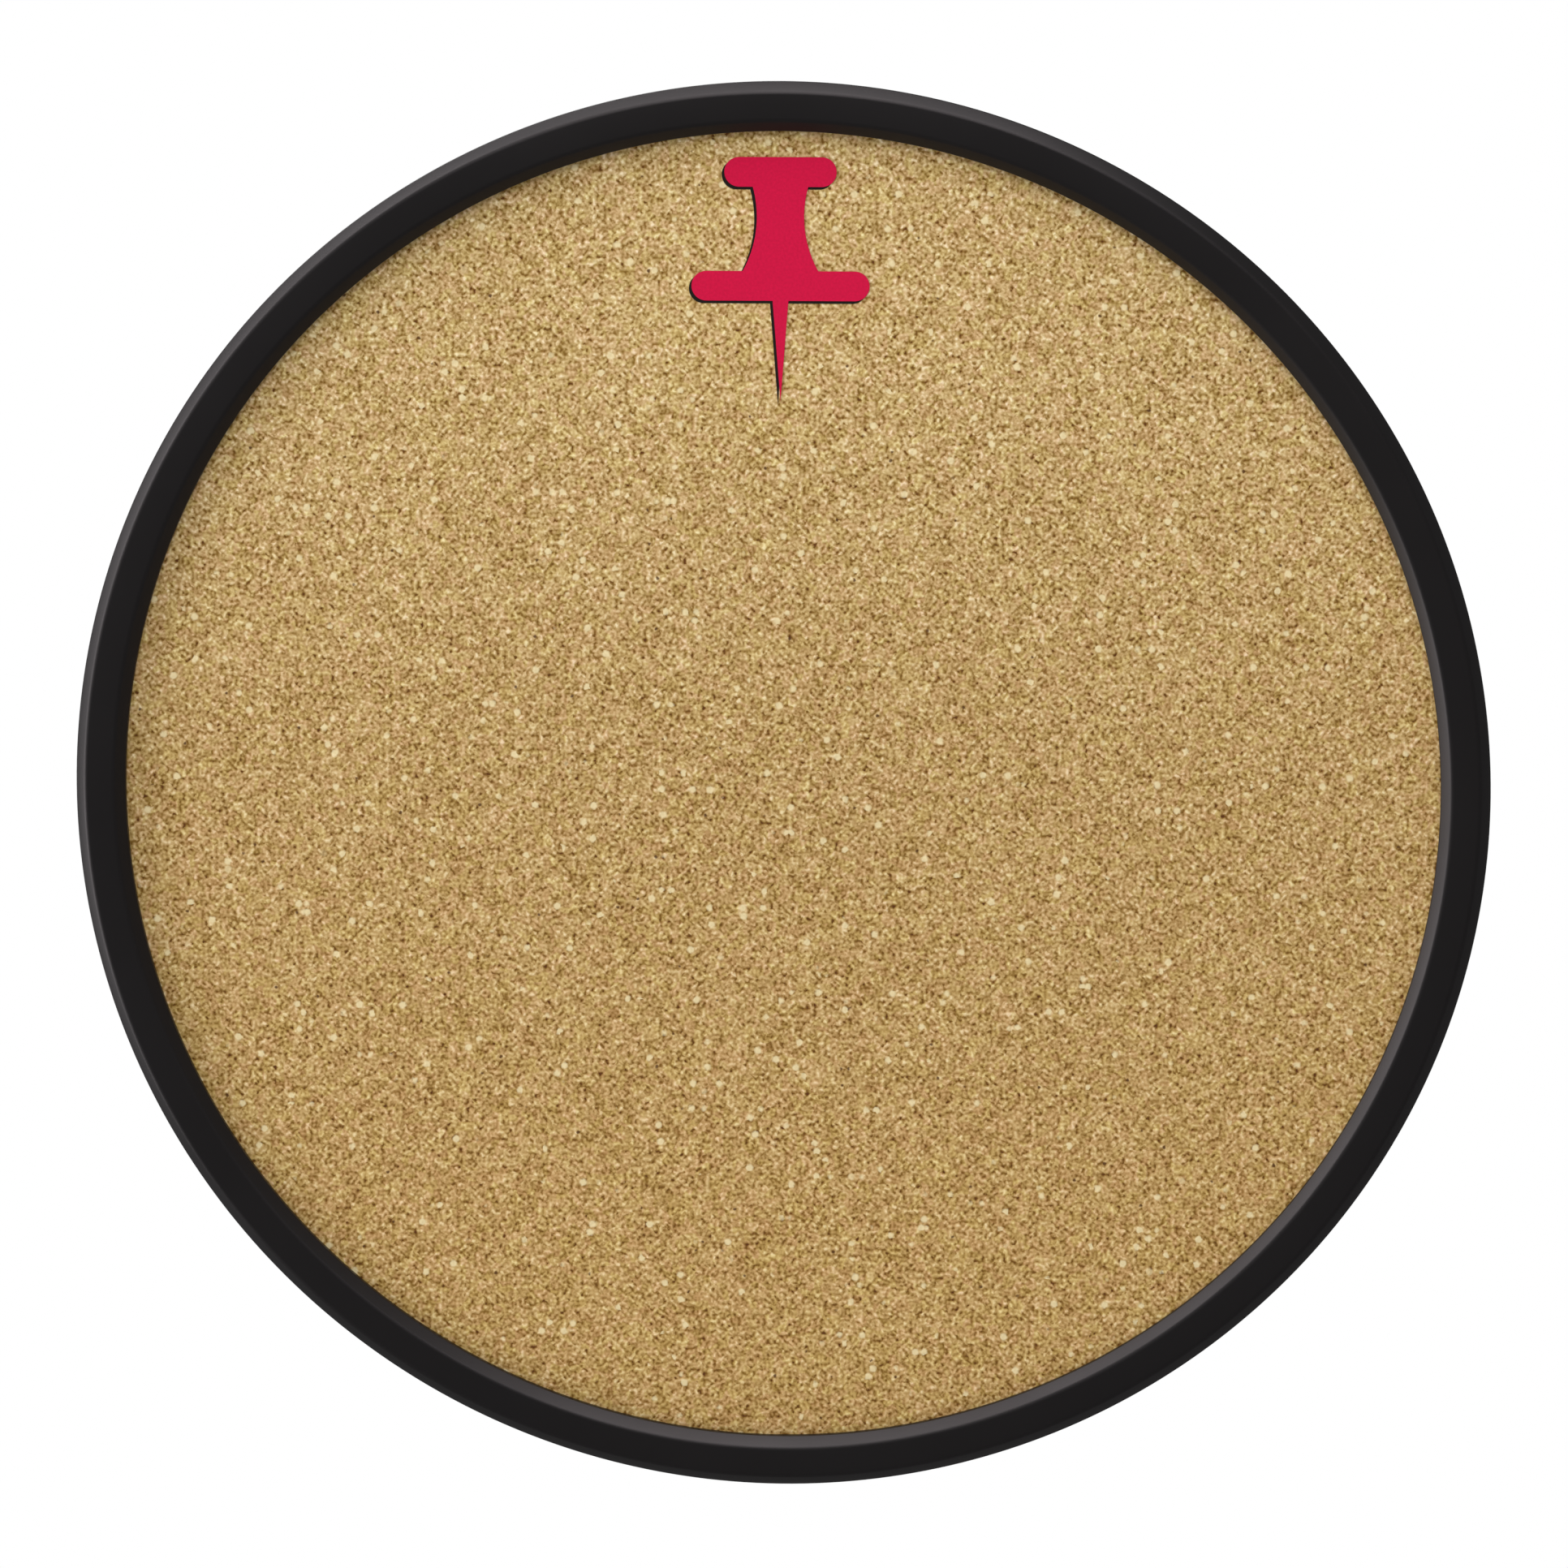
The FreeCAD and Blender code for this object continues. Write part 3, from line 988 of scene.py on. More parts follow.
@dataclass
class RingMoulding:
    """The frame ring, moulded in one: bevelled face, outer wall, pocket wall, ribs, bosses and pad posts."""

    segments: int = 360
    outer_radius: float = 215.9 * MM
    rim_radius: float = 214.1 * MM
    lip_radius: float = 200.75 * MM
    pocket_radius: float = 204.5 * MM
    channel_radius: float = 206.3 * MM
    wall_radius: float = 213.4 * MM
    rim_inner_radius: float = 212.1 * MM
    bevel_outer: float = 3.15 * MM
    bevel_inner: float = 3.3 * MM
    bevel_ease: float = 0.85 * MM
    wall_ease: float = 0.33 * MM
    rear_ease: float = 0.35 * MM
    lip_ease: float = 0.25 * MM
    shoulder_ease: float = 0.2 * MM
    seat_ease: float = 0.3 * MM
    ease_segments: int = 6
    recess: float = 5.6 * MM
    floor: float = 2.4 * MM
    channel_chamfer: float = 1.5 * MM
    fixing_radius: float = FIXING_RADIUS
    rib_count: int = 32
    rib_thickness: float = 1.4 * MM
    rib_drop: float = 0.8 * MM
    rib_draft: float = 0.8
    rib_ease: float = 0.08
    rib_wall_gap: float = 0.2 * MM
    embed: float = 0.6 * MM
    boss_radius: float = 3.0 * MM
    boss_ease: float = 0.3 * MM
    post_ease: float = 0.2 * MM
    pilot_radius: float = 1.5 * MM
    pilot_depth: float = 8.2 * MM
    pad_thickness: float = 1.5 * MM
    web_thickness: float = 1.6 * MM
    web_inset: float = 1.2 * MM
    screw_stations: tuple[float, ...] = (*BUTTON_STATIONS, *HANGER_STATIONS)
    post_stations: tuple[float, ...] = PAD_STATIONS

    def section(self, front: float, seat: float) -> list[SectionPoint]:
        """The section's corners in order round the moulding.

        Args:
            front: The depth of the front face.
            seat: The depth of the pocket wall's top.

        Returns:
            The corners.
        """
        floor = front + self.floor
        return [
            SectionPoint(self.rim_radius, 0, self.rear_ease),
            SectionPoint(self.outer_radius, front + self.bevel_outer, self.wall_ease),
            SectionPoint(self.outer_radius - self.bevel_outer, front, self.bevel_ease),
            SectionPoint(self.lip_radius + self.bevel_inner, front, self.bevel_ease),
            SectionPoint(self.lip_radius, front + self.bevel_inner, self.lip_ease),
            SectionPoint(self.lip_radius, front + self.recess, self.shoulder_ease),
            SectionPoint(self.pocket_radius, front + self.recess),
            SectionPoint(self.pocket_radius, seat, self.seat_ease),
            SectionPoint(self.channel_radius, seat, self.seat_ease),
            SectionPoint(self.channel_radius, floor),
            SectionPoint(self.wall_radius - self.channel_chamfer, floor),
            SectionPoint(self.wall_radius, floor + self.channel_chamfer),
            SectionPoint(self.rim_inner_radius, 0, self.rear_ease),
        ]

    def shell(self, corners: list[SectionPoint]) -> Piece:
        """The plain ring: a circle extruded from corner to corner of the section, closed and eased.

        Args:
            corners: The section's corners.

        Returns:
            The ring.
        """
        ring = open_circle("ring_moulding", self.segments, corners[0].radius, corners[0].y)
        with editing(ring):
            bpy.ops.mesh.select_all(action="SELECT")
            extrude_through([Row(corner.radius, corner.y) for corner in corners], turned=True)
            select(ring, "EDGE", lambda edge: edge.is_boundary)
            bpy.ops.mesh.bridge_edge_loops()
            face_outwards()
        # Each edge that runs round the ring is eased as far as its corner of the section
        widest = max(corner.ease for corner in corners)
        weights = ring.data.attributes.new("bevel_weight_edge", "FLOAT", "EDGE")
        points = [(math.hypot(v.co.x, v.co.z), v.co.y) for v in ring.data.vertices]
        for edge in ring.data.edges:
            start, end = (points[index] for index in edge.vertices)
            if math.dist(start, end) > NEAR:
                continue
            nearest = min(corners, key=lambda corner: math.dist(start, (corner.radius, corner.y)))
            weights.data[edge.index].value = nearest.ease / widest
        modify(
            ring,
            "BEVEL",
            width=widest,
            segments=self.ease_segments,
            limit_method="WEIGHT",
            use_clamp_overlap=False,
        )
        return ring

    def rib(self, width: float, low: tuple[float, float], high: tuple[float, float]) -> Piece:
        """A rib at the top of the ring, drafted towards its rear edge so that it leaves the tool.

        Args:
            width: Its size across.
            low: Its lowest depth and height.
            high: Its highest depth and height.

        Returns:
            The rib.
        """
        piece = block((-width / 2, *low), (width / 2, *high))
        with editing(piece):
            select(piece, "FACE", lambda face: face.normal.y > FACING)
            bpy.ops.transform.resize(value=(self.rib_draft, 1, 1))
            bpy.ops.mesh.bevel(offset=self.rib_ease * width, segments=2)
        return piece

    def build(self, finish: Finish) -> None:
        """Models the moulding and puts it in the frame ring's place.

        Args:
            finish: Its finish.
        """
        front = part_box("frame_ring")[0].y
        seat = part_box("backer_board")[1].y
        ring = self.shell(self.section(front, seat))
        foot = front + self.floor - self.embed
        wall = self.rim_radius - self.rib_wall_gap
        rib_low, rib_high = (foot, self.channel_radius - self.embed), (seat - self.rib_drop, wall)
        web_low, web_high = (foot, self.fixing_radius), (-2 * self.pad_thickness, wall - self.web_inset)
        rib = self.rib(self.rib_thickness, rib_low, rib_high)
        web = self.rib(self.web_thickness, web_low, web_high)
        boss = post(self.boss_radius, foot, seat, self.fixing_radius, self.boss_ease)
        pad_post = post(self.boss_radius, foot, -self.pad_thickness, self.fixing_radius, self.post_ease)
        pilot = post(self.pilot_radius, seat - self.pilot_depth, seat + OVERCUT, self.fixing_radius)
        every_rib = [360 / self.rib_count * index for index in range(self.rib_count)]
        combine(ring, join(at_stations(rib, every_rib), "ribs"), "UNION")
        combine(ring, join(at_stations(web, self.post_stations), "webs"), "UNION")
        combine(ring, join(at_stations(boss, self.screw_stations), "bosses"), "UNION")
        combine(ring, join(at_stations(pad_post, self.post_stations), "posts"), "UNION")
        combine(ring, join(at_stations(pilot, self.screw_stations), "pilots"), "DIFFERENCE")
        smooth(ring, 32)
        install(ring, finish, "moulded_abs", "root", "frame_ring")


@dataclass
class CutDisc:
    """A disc cut from sheet, whose visible face has a gentle relief, `level` of it towards the front."""

    name: str
    node: str
    slot: str
    seen_from_rear: bool
    rim_vertices: int
    unevenness: float
    wave: float
    level: float

    def build(self, finish: Finish) -> None:
        """Models the disc and puts it in its CAD node's place.

        Args:
            finish: Its finish.
        """
        low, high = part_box(self.node)
        seen, hidden = (high.y, low.y) if self.seen_from_rear else (low.y, high.y)
        disc = open_circle(self.name, self.rim_vertices, (high.z - low.z) / 2, seen)
        with editing(disc):
            bpy.ops.mesh.select_all(action="SELECT")
            bpy.ops.mesh.fill_grid(span=self.rim_vertices // 4)
            face_outwards()
        relief = bpy.data.textures.new("relief", "CLOUDS")
        relief.noise_scale = self.wave
        relief.noise_depth = 2
        modify(
            disc,
            "DISPLACE",
            texture=relief,
            texture_coords="LOCAL",
            direction="Y",
            strength=self.unevenness,
            mid_level=self.level,
        )
        bpy.data.textures.remove(relief)
        with editing(disc):
            select(disc, "EDGE", lambda edge: edge.is_boundary)
            bpy.ops.mesh.extrude_edges_move(TRANSFORM_OT_translate={"value": (0, hidden - seen, 0)})
            bpy.ops.transform.resize(value=(1, 0, 1), center_override=(0, hidden, 0))
            bpy.ops.mesh.edge_face_add()
            face_outwards()
        smooth(disc, 40)
        install(disc, finish, self.slot, "root", self.node)


@dataclass
class TurnButtons:
    """Turn buttons stamped from strip: a tapered plate with round ends, a pivot hole and a folded-up tab."""

    head_radius: float = 3.7 * MM
    tip_radius: float = 3.0 * MM
    thickness: float = 1.0 * MM
    hole_radius: float = 1.58 * MM
    tab_width: float = 4.5 * MM
    tab_thickness: float = 0.9 * MM
    fold_radius: float = 0.85 * MM
    fold_overlap: float = 0.2 * MM
    die_roll: float = 0.16 * MM
    sides: int = 56
    hole_sides: int = 48
    stations: tuple[float, ...] = BUTTON_STATIONS

    def plate(self, low: Vector, high: Vector) -> Piece:
        """The flat of the button: a circle whose lower half is drawn out to the smaller tip.

        Args:
            low: The lowest corner of the button at the top of the ring.
            high: Its highest corner.

        Returns:
            The plate.
        """
        pivot, tip = high.z - self.head_radius, low.z + self.tip_radius
        shrink = self.tip_radius / self.head_radius
        plate = open_circle("turn_button_plate", self.sides, self.head_radius, low.y)
        shift(plate, z=pivot)
        with editing(plate):
            select(plate, "VERT", lambda vertex: vertex.co.z < pivot - NEAR)
            bpy.ops.transform.translate(value=(0, 0, tip - pivot))
            bpy.ops.transform.resize(value=(shrink, 1, shrink), center_override=(0, low.y, tip))
            bpy.ops.mesh.select_all(action="SELECT")
            bpy.ops.mesh.edge_face_add()
            bpy.ops.mesh.extrude_region_move(TRANSFORM_OT_translate={"value": (0, self.thickness, 0)})
            select(plate, "FACE", lambda face: abs(face.normal.y) > FACING)
            bpy.ops.mesh.bevel(offset=self.die_roll, segments=2)
            bpy.ops.mesh.select_all(action="SELECT")
            bpy.ops.mesh.bisect(
                plane_co=(0, 0, low.z + self.tab_thickness - self.fold_overlap),
                plane_no=(0, 0, 1),
                use_fill=True,
                clear_inner=True,
            )
            face_outwards()
        hole = post(self.hole_radius, low.y - OVERCUT, high.y + OVERCUT, pivot, sides=self.hole_sides)
        combine(plate, hole, "DIFFERENCE")
        return plate

    def tab(self, low: Vector, high: Vector) -> Piece:
        """The tab that a finger turns the button by, with the round of its fold at the foot.

        Args:
            low: The lowest corner of the button at the top of the ring.
            high: Its highest corner.

        Returns:
            The tab.
        """
        tab = block(
            (-self.tab_width / 2, low.y, low.z), (self.tab_width / 2, high.y, low.z + self.tab_thickness)
        )
        with editing(tab):
            # The fold's round is along the edge between the tab's front and its underside
            select(
                tab,
                "EDGE",
                lambda edge: all(v.co.y < low.y + NEAR and v.co.z < low.z + NEAR for v in edge.verts),
            )
            bpy.ops.mesh.bevel(offset=self.fold_radius, segments=5)
            select(tab, "FACE", lambda face: max(face.normal.y, abs(face.normal.x)) > FACING)
            bpy.ops.mesh.bevel(offset=self.die_roll, segments=2)
        return tab

    def build(self, finish: Finish) -> None:
        """Models one button and puts a copy on each button's body.

        Args:
            finish: Their finish.
        """
        low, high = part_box("turn_button_1")
        button = self.plate(low, high)
        combine(button, self.tab(low, high), "UNION")
        smooth(button, 35)
        for number, copy in enumerate(at_stations(button, self.stations), start=1):
            copy.name = copy.data.name = f"turn_button_plate_{number}"
            install(copy, finish, "zinc_plated_strip", f"turn_button_{number}", f"turn_button_{number}")


@dataclass
class PanHeadScrews:
    """A group of pan-head screws with a tapered cross recess."""

    node: str
    stations: tuple[float, ...]
    fixing_radius: float = FIXING_RADIUS
    head_radius: float = 2.8 * MM
    head_height: float = 1.9 * MM
    head_edge: float = 0.2 * MM
    crown: float = 1.3 * MM
    shank_radius: float = 1.5 * MM
    point: float = 0.6 * MM
    recess_length: float = 3.2 * MM
    recess_width: float = 0.9 * MM
    recess_depth: float = 1.1 * MM
    recess_taper: tuple[float, float] = (0.4, 0.6)
    sides: int = 40

    def profile(self, foot: float, top: float) -> list[Row]:
        """The screw's profile from its point to its crown.

        Args:
            foot: The depth of its point.
            top: The depth of its top.

        Returns:
            The rows to turn.
        """
        seat = top - self.head_height
        return [
            Row(self.shank_radius - self.point, foot),
            Row(self.shank_radius, foot + self.point),
            Row(self.shank_radius, seat),
            Row(self.head_radius - self.head_edge, seat),
            Row(self.head_radius, seat + self.head_edge),
            *quarter_round(self.head_radius, top, self.crown, steps=4),
        ]

    def recess(self, top: float) -> Piece:
        """The driver's cross, which narrows with depth.

        Args:
            top: The depth of the screw's top.

        Returns:
            The cutting shape.
        """
        half, side, bottom = self.recess_length / 2, self.recess_width / 2, top - self.recess_depth
        wing = block((-half, bottom, -side), (half, top + self.recess_depth, side))
        with editing(wing):
            select(wing, "FACE", lambda face: face.normal.y < -FACING)
            lengthways, across = self.recess_taper
            bpy.ops.transform.resize(value=(lengthways, 1, across), center_override=(0, bottom, 0))
        first, second = at_stations(wing, (0, 90))
        combine(first, second, "UNION")
        return first

    def build(self, finish: Finish) -> None:
        """Models one screw and puts the group in its CAD node's place.

        Args:
            finish: Their finish.
        """
        low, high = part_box(self.node)
        screw = turned_piece(f"{self.node}_set", self.sides, self.profile(low.y, high.y))
        combine(screw, self.recess(high.y), "DIFFERENCE")
        smooth(screw, 35)
        shift(screw, z=self.fixing_radius)
        group = join(at_stations(screw, self.stations), f"{self.node}_set")
        install(group, finish, "zinc_plated_screw", "root", self.node)


@dataclass
class StrapHangers:
    """Two strap hangers, each a strip of steel folded round its D-ring's bar and back on itself."""

    sheet: float = 0.78 * MM
    parting: float = 0.04 * MM
    head_radius: float = 3.8 * MM
    width: float = 9.0 * MM
    taper: float = 10.0 * MM
    ramp_start: float = 18.5 * MM
    eye_radius: float = 2.1 * MM
    hole_radius: float = 1.6 * MM
    edge_round: float = 0.14 * MM
    fold_steps: int = 18
    hole_sides: int = 48

    def rows(self, reach: float) -> tuple[list[Row], list[Row]]:
        """The strip's rows up from the taper of the lower layer, and on round the fold from its far end.

        Args:
            reach: How far below the screw the eye's middle is.

        Returns:
            The rows up to the lower screw end, and the rows from the fold to the upper screw end.
        """
        half = self.width / 2
        under, over = self.sheet / 2, 1.5 * self.sheet + self.parting
        fold = self.eye_radius - self.sheet / 2
        eye = under + fold
        # The upper layer leaves the fold where a straight line from the ramp's start touches it
        away = Vector((over - eye, reach - self.ramp_start))
        leave = math.atan2(away.x, away.y) + math.acos(fold / away.length)
        angles = [math.radians(degrees) for degrees in range(0, 90, 12)]
        screw_end = [(self.head_radius * math.cos(a), self.head_radius * math.sin(a)) for a in angles]
        lower = [Row(half, under, -self.taper)] + [Row(side, under, z) for side, z in screw_end]
        turned = 3 * math.pi / 2 - leave
        turns = [-math.pi / 2 - turned * step / self.fold_steps for step in range(self.fold_steps + 1)]
        upper = [Row(half, eye + fold * math.sin(turn), fold * math.cos(turn) - reach) for turn in turns]
        upper += [Row(half, over, -self.ramp_start), Row(half, over, -self.taper)]
        upper += [Row(side, over, z) for side, z in screw_end]
        return lower, upper

    def strap(self, seat: float, reach: float) -> Piece:
        """One strap whose screw is at x = 0, z = 0.

        Args:
            seat: The depth of the face that it lies on.
            reach: How far below the screw the eye's middle is.

        Returns:
            The strap.
        """
        lower, upper = self.rows(reach)
        deselect_all()
        middle = (0, lower[0].y, (lower[0].z + upper[0].z) / 2)
        bpy.ops.mesh.primitive_plane_add(size=self.width, location=middle, rotation=(math.pi / 2, 0, 0))
        strap = bpy.context.object
        bpy.ops.object.transform_apply()
        stretch = (lower[0].z - upper[0].z) / self.width
        with editing(strap):
            bpy.ops.mesh.select_all(action="SELECT")
            bpy.ops.transform.resize(value=(1, 1, stretch), center_override=middle)
            for rows in (lower, upper):
                select(strap, "EDGE", lambda edge: all(abs(v.co.z - rows[0].z) < NEAR for v in edge.verts))
                extrude_through(rows)
            bpy.ops.mesh.select_all(action="SELECT")
            bpy.ops.transform.translate(value=(0, seat, 0))
        modify(strap, "SOLIDIFY", thickness=self.sheet, offset=0.0, use_even_offset=True)
        modify(
            strap,
            "BEVEL",
            width=self.edge_round,
            segments=2,
            limit_method="ANGLE",
            angle_limit=math.radians(60),
        )
        above = seat + 2 * self.sheet + self.parting + OVERCUT
        hole = post(self.hole_radius, seat - OVERCUT, above, 0, sides=self.hole_sides)
        combine(strap, hole, "DIFFERENCE")
        with editing(strap):
            face_outwards()
        smooth(strap, 40)
        return strap

    def build(self, finish: Finish) -> None:
        """Models the straps and puts them in their CAD nodes' places.

        Args:
            finish: Their finish.
        """
        for side in ("left", "right"):
            low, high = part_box(f"hanger_strap_{side}")
            screw_z = high.z - self.head_radius
            strap = self.strap(low.y, screw_z - low.z - self.eye_radius)
            shift(strap, (low.x + high.x) / 2, screw_z)
            strap.name = strap.data.name = f"strap_hanger_{side}"
            install(strap, finish, "zinc_plated_strip", "root", f"hanger_strap_{side}")


@dataclass
class DRings:
    """Two D-rings bent from round wire, whose ends meet in the middle of the straight bar."""

    corner: float = 2.2 * MM
    leg: float = 3.0 * MM
    butt_gap: float = 0.06 * MM
    sides: int = 20
    corner_steps: int = 8
    bow_steps: int = 32

    def ring(self, low: Vector, high: Vector) -> Piece:
        """One D-ring: a circle of wire drawn along the bar, round the corners and round the bow.

        Args:
            low: Its lowest corner.
            high: Its highest corner.

        Returns:
            The D-ring.
        """
        wire = (high.y - low.y) / 2
        x, y = (low.x + high.x) / 2, (low.y + high.y) / 2
        bar, side = high.z - wire, (high.x - low.x) / 2 - wire - self.corner
        run = side - self.butt_gap / 2
        deselect_all()
        bpy.ops.mesh.primitive_circle_add(
            vertices=self.sides,
            radius=wire,
            fill_type="NOTHING",
            location=(x + self.butt_gap / 2, y, bar),
            rotation=(0, math.pi / 2, 0),
        )
        ring = bpy.context.object
        bpy.ops.object.transform_apply()
        # Each straight stretch, then the centre, the angle and the steps of the bend after it
        bends = [
            ((run, 0, 0), (x + side, y, bar - self.corner), 90, self.corner_steps),
            ((0, 0, -self.leg), (x, y, bar - self.corner - self.leg), 180, self.bow_steps),
            ((0, 0, self.leg), (x - side, y, bar - self.corner), 90, self.corner_steps),
        ]
        with editing(ring):
            bpy.ops.mesh.select_all(action="SELECT")
            for straight, centre, degrees, steps in bends:
                bpy.ops.mesh.extrude_edges_move(TRANSFORM_OT_translate={"value": straight})
                bpy.ops.mesh.spin(steps=steps, angle=math.radians(degrees), center=centre, axis=(0, -1, 0))
            bpy.ops.mesh.extrude_edges_move(TRANSFORM_OT_translate={"value": (run, 0, 0)})
            select(ring, "EDGE", lambda edge: edge.is_boundary)
            bpy.ops.mesh.fill_holes(sides=0)
            face_outwards()
        smooth(ring, 40)
        return ring

    def build(self, finish: Finish) -> None:
        """Models the D-rings and puts each on its own body.

        Args:
            finish: Their finish.
        """
        for side in ("left", "right"):
            node = f"hanger_ring_{side}"
            ring = self.ring(*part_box(node))
            ring.name = ring.data.name = f"d_ring_{side}"
            install(ring, finish, "nickel_plated_wire", node, node)


@dataclass
class WallPads:
    """Four round rubber pads with a shallow dimple, pressed on the ring's posts."""

    fixing_radius: float = FIXING_RADIUS
    radius: float = 2.8 * MM
    edge: float = 0.5 * MM
    dimple_radius: float = 1.4 * MM
    dimple_depth: float = 0.25 * MM
    sides: int = 40
    stations: tuple[float, ...] = PAD_STATIONS

    def build(self, finish: Finish) -> None:
        """Models one pad and puts the group in its CAD node's place.

        Args:
            finish: Their finish.
        """
        low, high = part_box("wall_pads")
        rim = quarter_round(self.radius, high.y, self.edge, steps=3)
        dimple = [
            Row(self.dimple_radius * share, high.y - self.dimple_depth * (1 - share**2))
            for share in (1, 0.8, 0.5, 0.2)
        ]
        pad = turned_piece("wall_pad", self.sides, [Row(self.radius, low.y), *rim, *dimple])
        smooth(pad, 35)
        shift(pad, z=self.fixing_radius)
        pads = join(at_stations(pad, self.stations), "rubber_wall_pads")
        install(pads, finish, "black_rubber", "root", "wall_pads")


@dataclass(frozen=True)
class Softbox:
    """A round studio light that points at the board and that the camera doesn't see."""

    name: str
    clock_degrees: float
    off_axis_degrees: float
    distance: float
    radius: float
    radiance: float
    front: bool = True

    def build(self) -> None:
        """Adds the light."""
        clock, off_axis = math.radians(self.clock_degrees), math.radians(self.off_axis_degrees)
        away = Vector(
            (
                math.cos(clock) * math.sin(off_axis),
                -math.cos(off_axis) if self.front else math.cos(off_axis),
                math.sin(clock) * math.sin(off_axis),
            )
        )
        light = bpy.data.lights.new(self.name, "AREA")
        light.shape = "DISK"
        light.size = 2 * self.radius
        light.energy = self.radiance * math.pi * math.pi * self.radius**2
        lamp = bpy.data.objects.new(self.name, light)
        lamp.location = away * self.distance
        lamp.rotation_euler = away.to_track_quat("Z", "Y").to_euler()
        lamp.visible_camera = False
        bpy.context.scene.collection.objects.link(lamp)


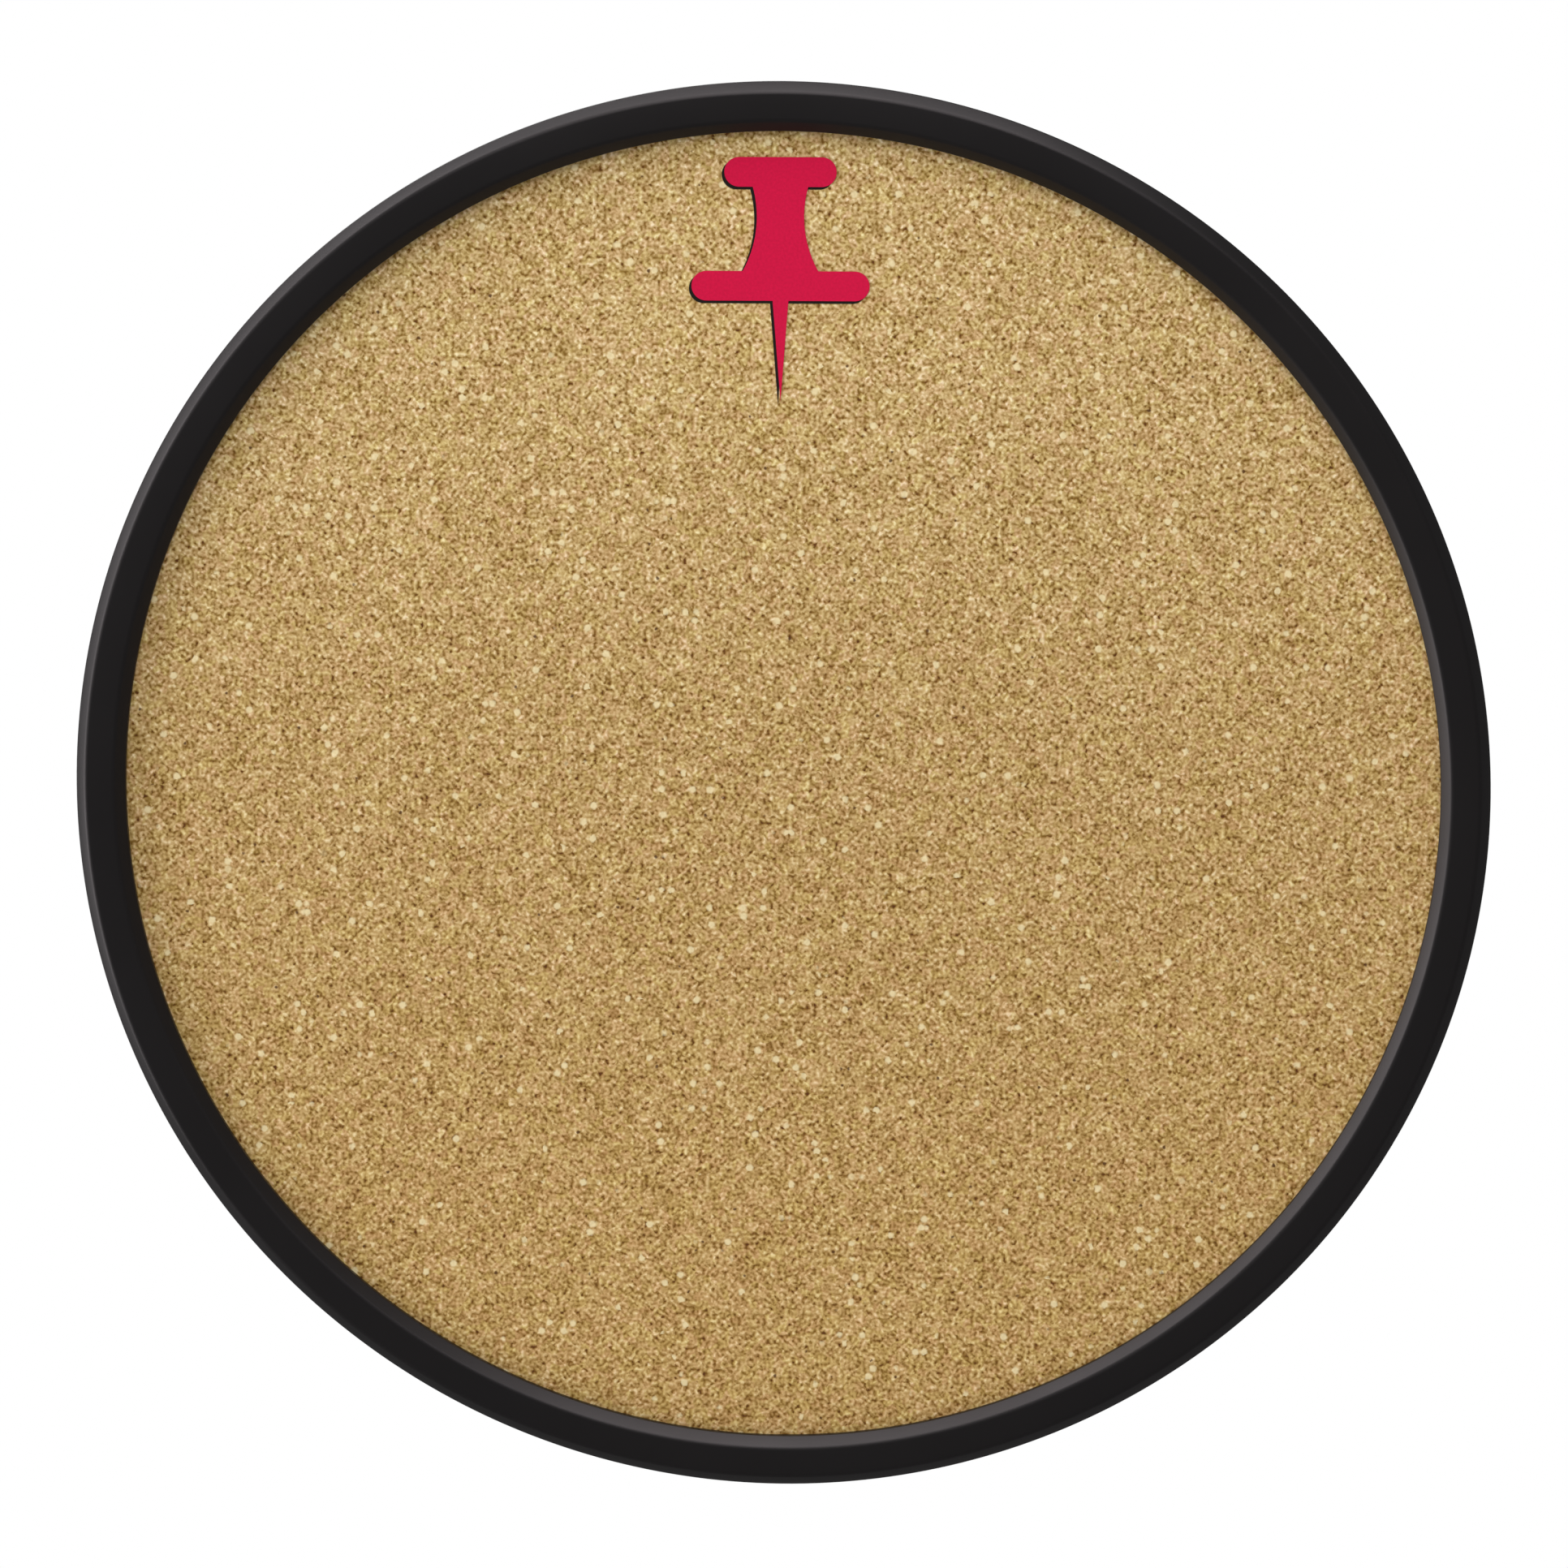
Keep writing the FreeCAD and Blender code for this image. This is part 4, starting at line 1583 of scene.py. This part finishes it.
@dataclass
class Studio:
    """A white studio: pale floor, softboxes, dim fill and a long lens."""

    floor_drop: float = 0.85
    floor_radius: float = 1.35
    fill: float = 0.33
    key: Softbox = Softbox(
        name="key_softbox", clock_degrees=88, off_axis_degrees=50, distance=1.5, radius=0.54, radiance=3.6
    )
    rear: Softbox = Softbox(
        name="rear_softbox",
        clock_degrees=120,
        off_axis_degrees=50,
        distance=2.4,
        radius=0.9,
        radiance=4.0,
        front=False,
    )
    edge_clocks: tuple[float, ...] = (80, 109, 138, 167, 196)
    edge_radiances: tuple[float, ...] = (3.0, 3.4, 4.0, 4.5, 4.3)
    edge_off_axis: float = 77
    edge_distance: float = 4.0
    edge_radius: float = 1.2
    lens_mm: float = 200.0
    sensor_mm: float = 36.0
    azimuth_degrees: float = 3.62
    elevation_degrees: float = 8.13
    half_view: float = 238.84 * MM
    aim: tuple[float, float] = (1.2 * MM, 2.0 * MM)
    aim_depth: float = 3.15 * MM

    def floor(self, finish: Finish) -> None:
        """Adds the floor well below the board.

        Args:
            finish: Its finish.
        """
        deselect_all()
        bpy.ops.mesh.primitive_circle_add(
            vertices=128, radius=self.floor_radius, fill_type="NGON", location=(0, 0, -self.floor_drop)
        )
        floor = bpy.context.object
        floor.name = "studio_floor"
        bpy.ops.object.transform_apply()
        finish.dress(floor)
        # Kept out of reflections, or the glossy ring's lower bevel would mirror it
        floor.visible_glossy = False

    def world(self) -> None:
        """Makes the surround white to look at and dim as a light."""
        world = bpy.data.worlds.new("studio_surround")
        world.use_nodes = True
        tree = world.node_tree
        tree.nodes.clear()
        white = linear("#ffffff")
        seen = add_node(tree, "Background", inputs={"Color": white, "Strength": 1.0})
        lit = add_node(tree, "Background", inputs={"Color": white, "Strength": self.fill})
        path = add_node(tree, "LightPath")
        either = add_node(
            tree,
            "MixShader",
            inputs={0: path.outputs["Is Camera Ray"], 1: lit.outputs[0], 2: seen.outputs[0]},
        )
        add_node(tree, "OutputWorld", inputs={"Surface": either.outputs[0]})
        bpy.context.scene.world = world

    def camera(self) -> None:
        """Adds the camera, a little above and to the right of the board's axis."""
        azimuth, elevation = math.radians(self.azimuth_degrees), math.radians(self.elevation_degrees)
        back = Vector(
            (
                math.sin(azimuth) * math.cos(elevation),
                -math.cos(azimuth) * math.cos(elevation),
                math.sin(elevation),
            )
        )
        lens = bpy.data.cameras.new("camera")
        lens.sensor_width = self.sensor_mm
        lens.lens = self.lens_mm
        distance = self.half_view * self.lens_mm / (self.sensor_mm / 2)
        camera = bpy.data.objects.new("camera", lens)
        target = Vector((self.aim[0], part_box("frame_ring")[0].y + self.aim_depth, self.aim[1]))
        camera.location = target + back * distance
        camera.rotation_euler = back.to_track_quat("Z", "Y").to_euler()
        bpy.context.scene.collection.objects.link(camera)
        bpy.context.scene.camera = camera

    def build(self, finish: Finish) -> None:
        """Sets the whole studio up.

        Args:
            finish: The floor's finish.
        """
        self.floor(finish)
        self.world()
        self.camera()
        self.key.build()
        self.rear.build()
        # Low, wide lights from the top round to the left give the ring's bevels their sheen
        for number, (clock, radiance) in enumerate(zip(self.edge_clocks, self.edge_radiances), start=1):
            Softbox(
                name=f"edge_softbox_{number}",
                clock_degrees=clock,
                off_axis_degrees=self.edge_off_axis,
                distance=self.edge_distance,
                radius=self.edge_radius,
                radiance=radiance,
            ).build()
        bpy.context.scene.view_settings.view_transform = "Standard"
        LOG.info("studio: floor, surround, camera and softboxes")


def print_emblem() -> None:
    """Gives the two printed layers of the emblem, whose CAD shapes stay, their inks."""
    for node, ink in (("emblem_shade", InkColour.BLACK), ("emblem_print", InkColour.RED)):
        ScreenInk(ink).dress(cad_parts[node])
        LOG.info("%s: CAD shape in %s ink", node, ink.name.lower())


def main() -> None:
    """Builds the board's sub-assemblies and the studio, in order."""
    logging.basicConfig(level=logging.INFO, format="%(name)s: %(message)s")
    strip_steel = PlatedSteel(name="zinc_plated_rolled_steel", colour="#c3c7c9", roughness=0.36, mark_mm=0.25)
    screw_steel = PlatedSteel(name="zinc_plated_headed_steel", colour="#c9ccd0", roughness=0.28, mark_mm=0.3)
    wire_steel = PlatedSteel(name="nickel_plated_drawn_steel", colour="#d2c7b6", roughness=0.2, mark_mm=0.4)
    cork = CutDisc(
        name="cork_pinning_sheet",
        node="cork_sheet",
        slot="agglomerated_cork",
        seen_from_rear=False,
        rim_vertices=1120,
        unevenness=0.1 * MM,
        wave=4.5 * MM,
        level=0.5,
    )
    backer = CutDisc(
        name="hardboard_backer",
        node="backer_board",
        slot="hardboard",
        seen_from_rear=True,
        rim_vertices=480,
        unevenness=0.12 * MM,
        wave=18 * MM,
        level=1.0,
    )
    RingMoulding().build(MouldedAbs())
    cork.build(AgglomeratedCork())
    backer.build(Hardboard())
    print_emblem()
    TurnButtons().build(strip_steel)
    StrapHangers().build(strip_steel)
    DRings().build(wire_steel)
    PanHeadScrews(node="turn_button_screws", stations=BUTTON_STATIONS).build(screw_steel)
    PanHeadScrews(node="hanger_screws", stations=HANGER_STATIONS).build(screw_steel)
    WallPads().build(Rubber())
    Studio().build(PaintedFloor())


if __name__ == "__main__":
    main()
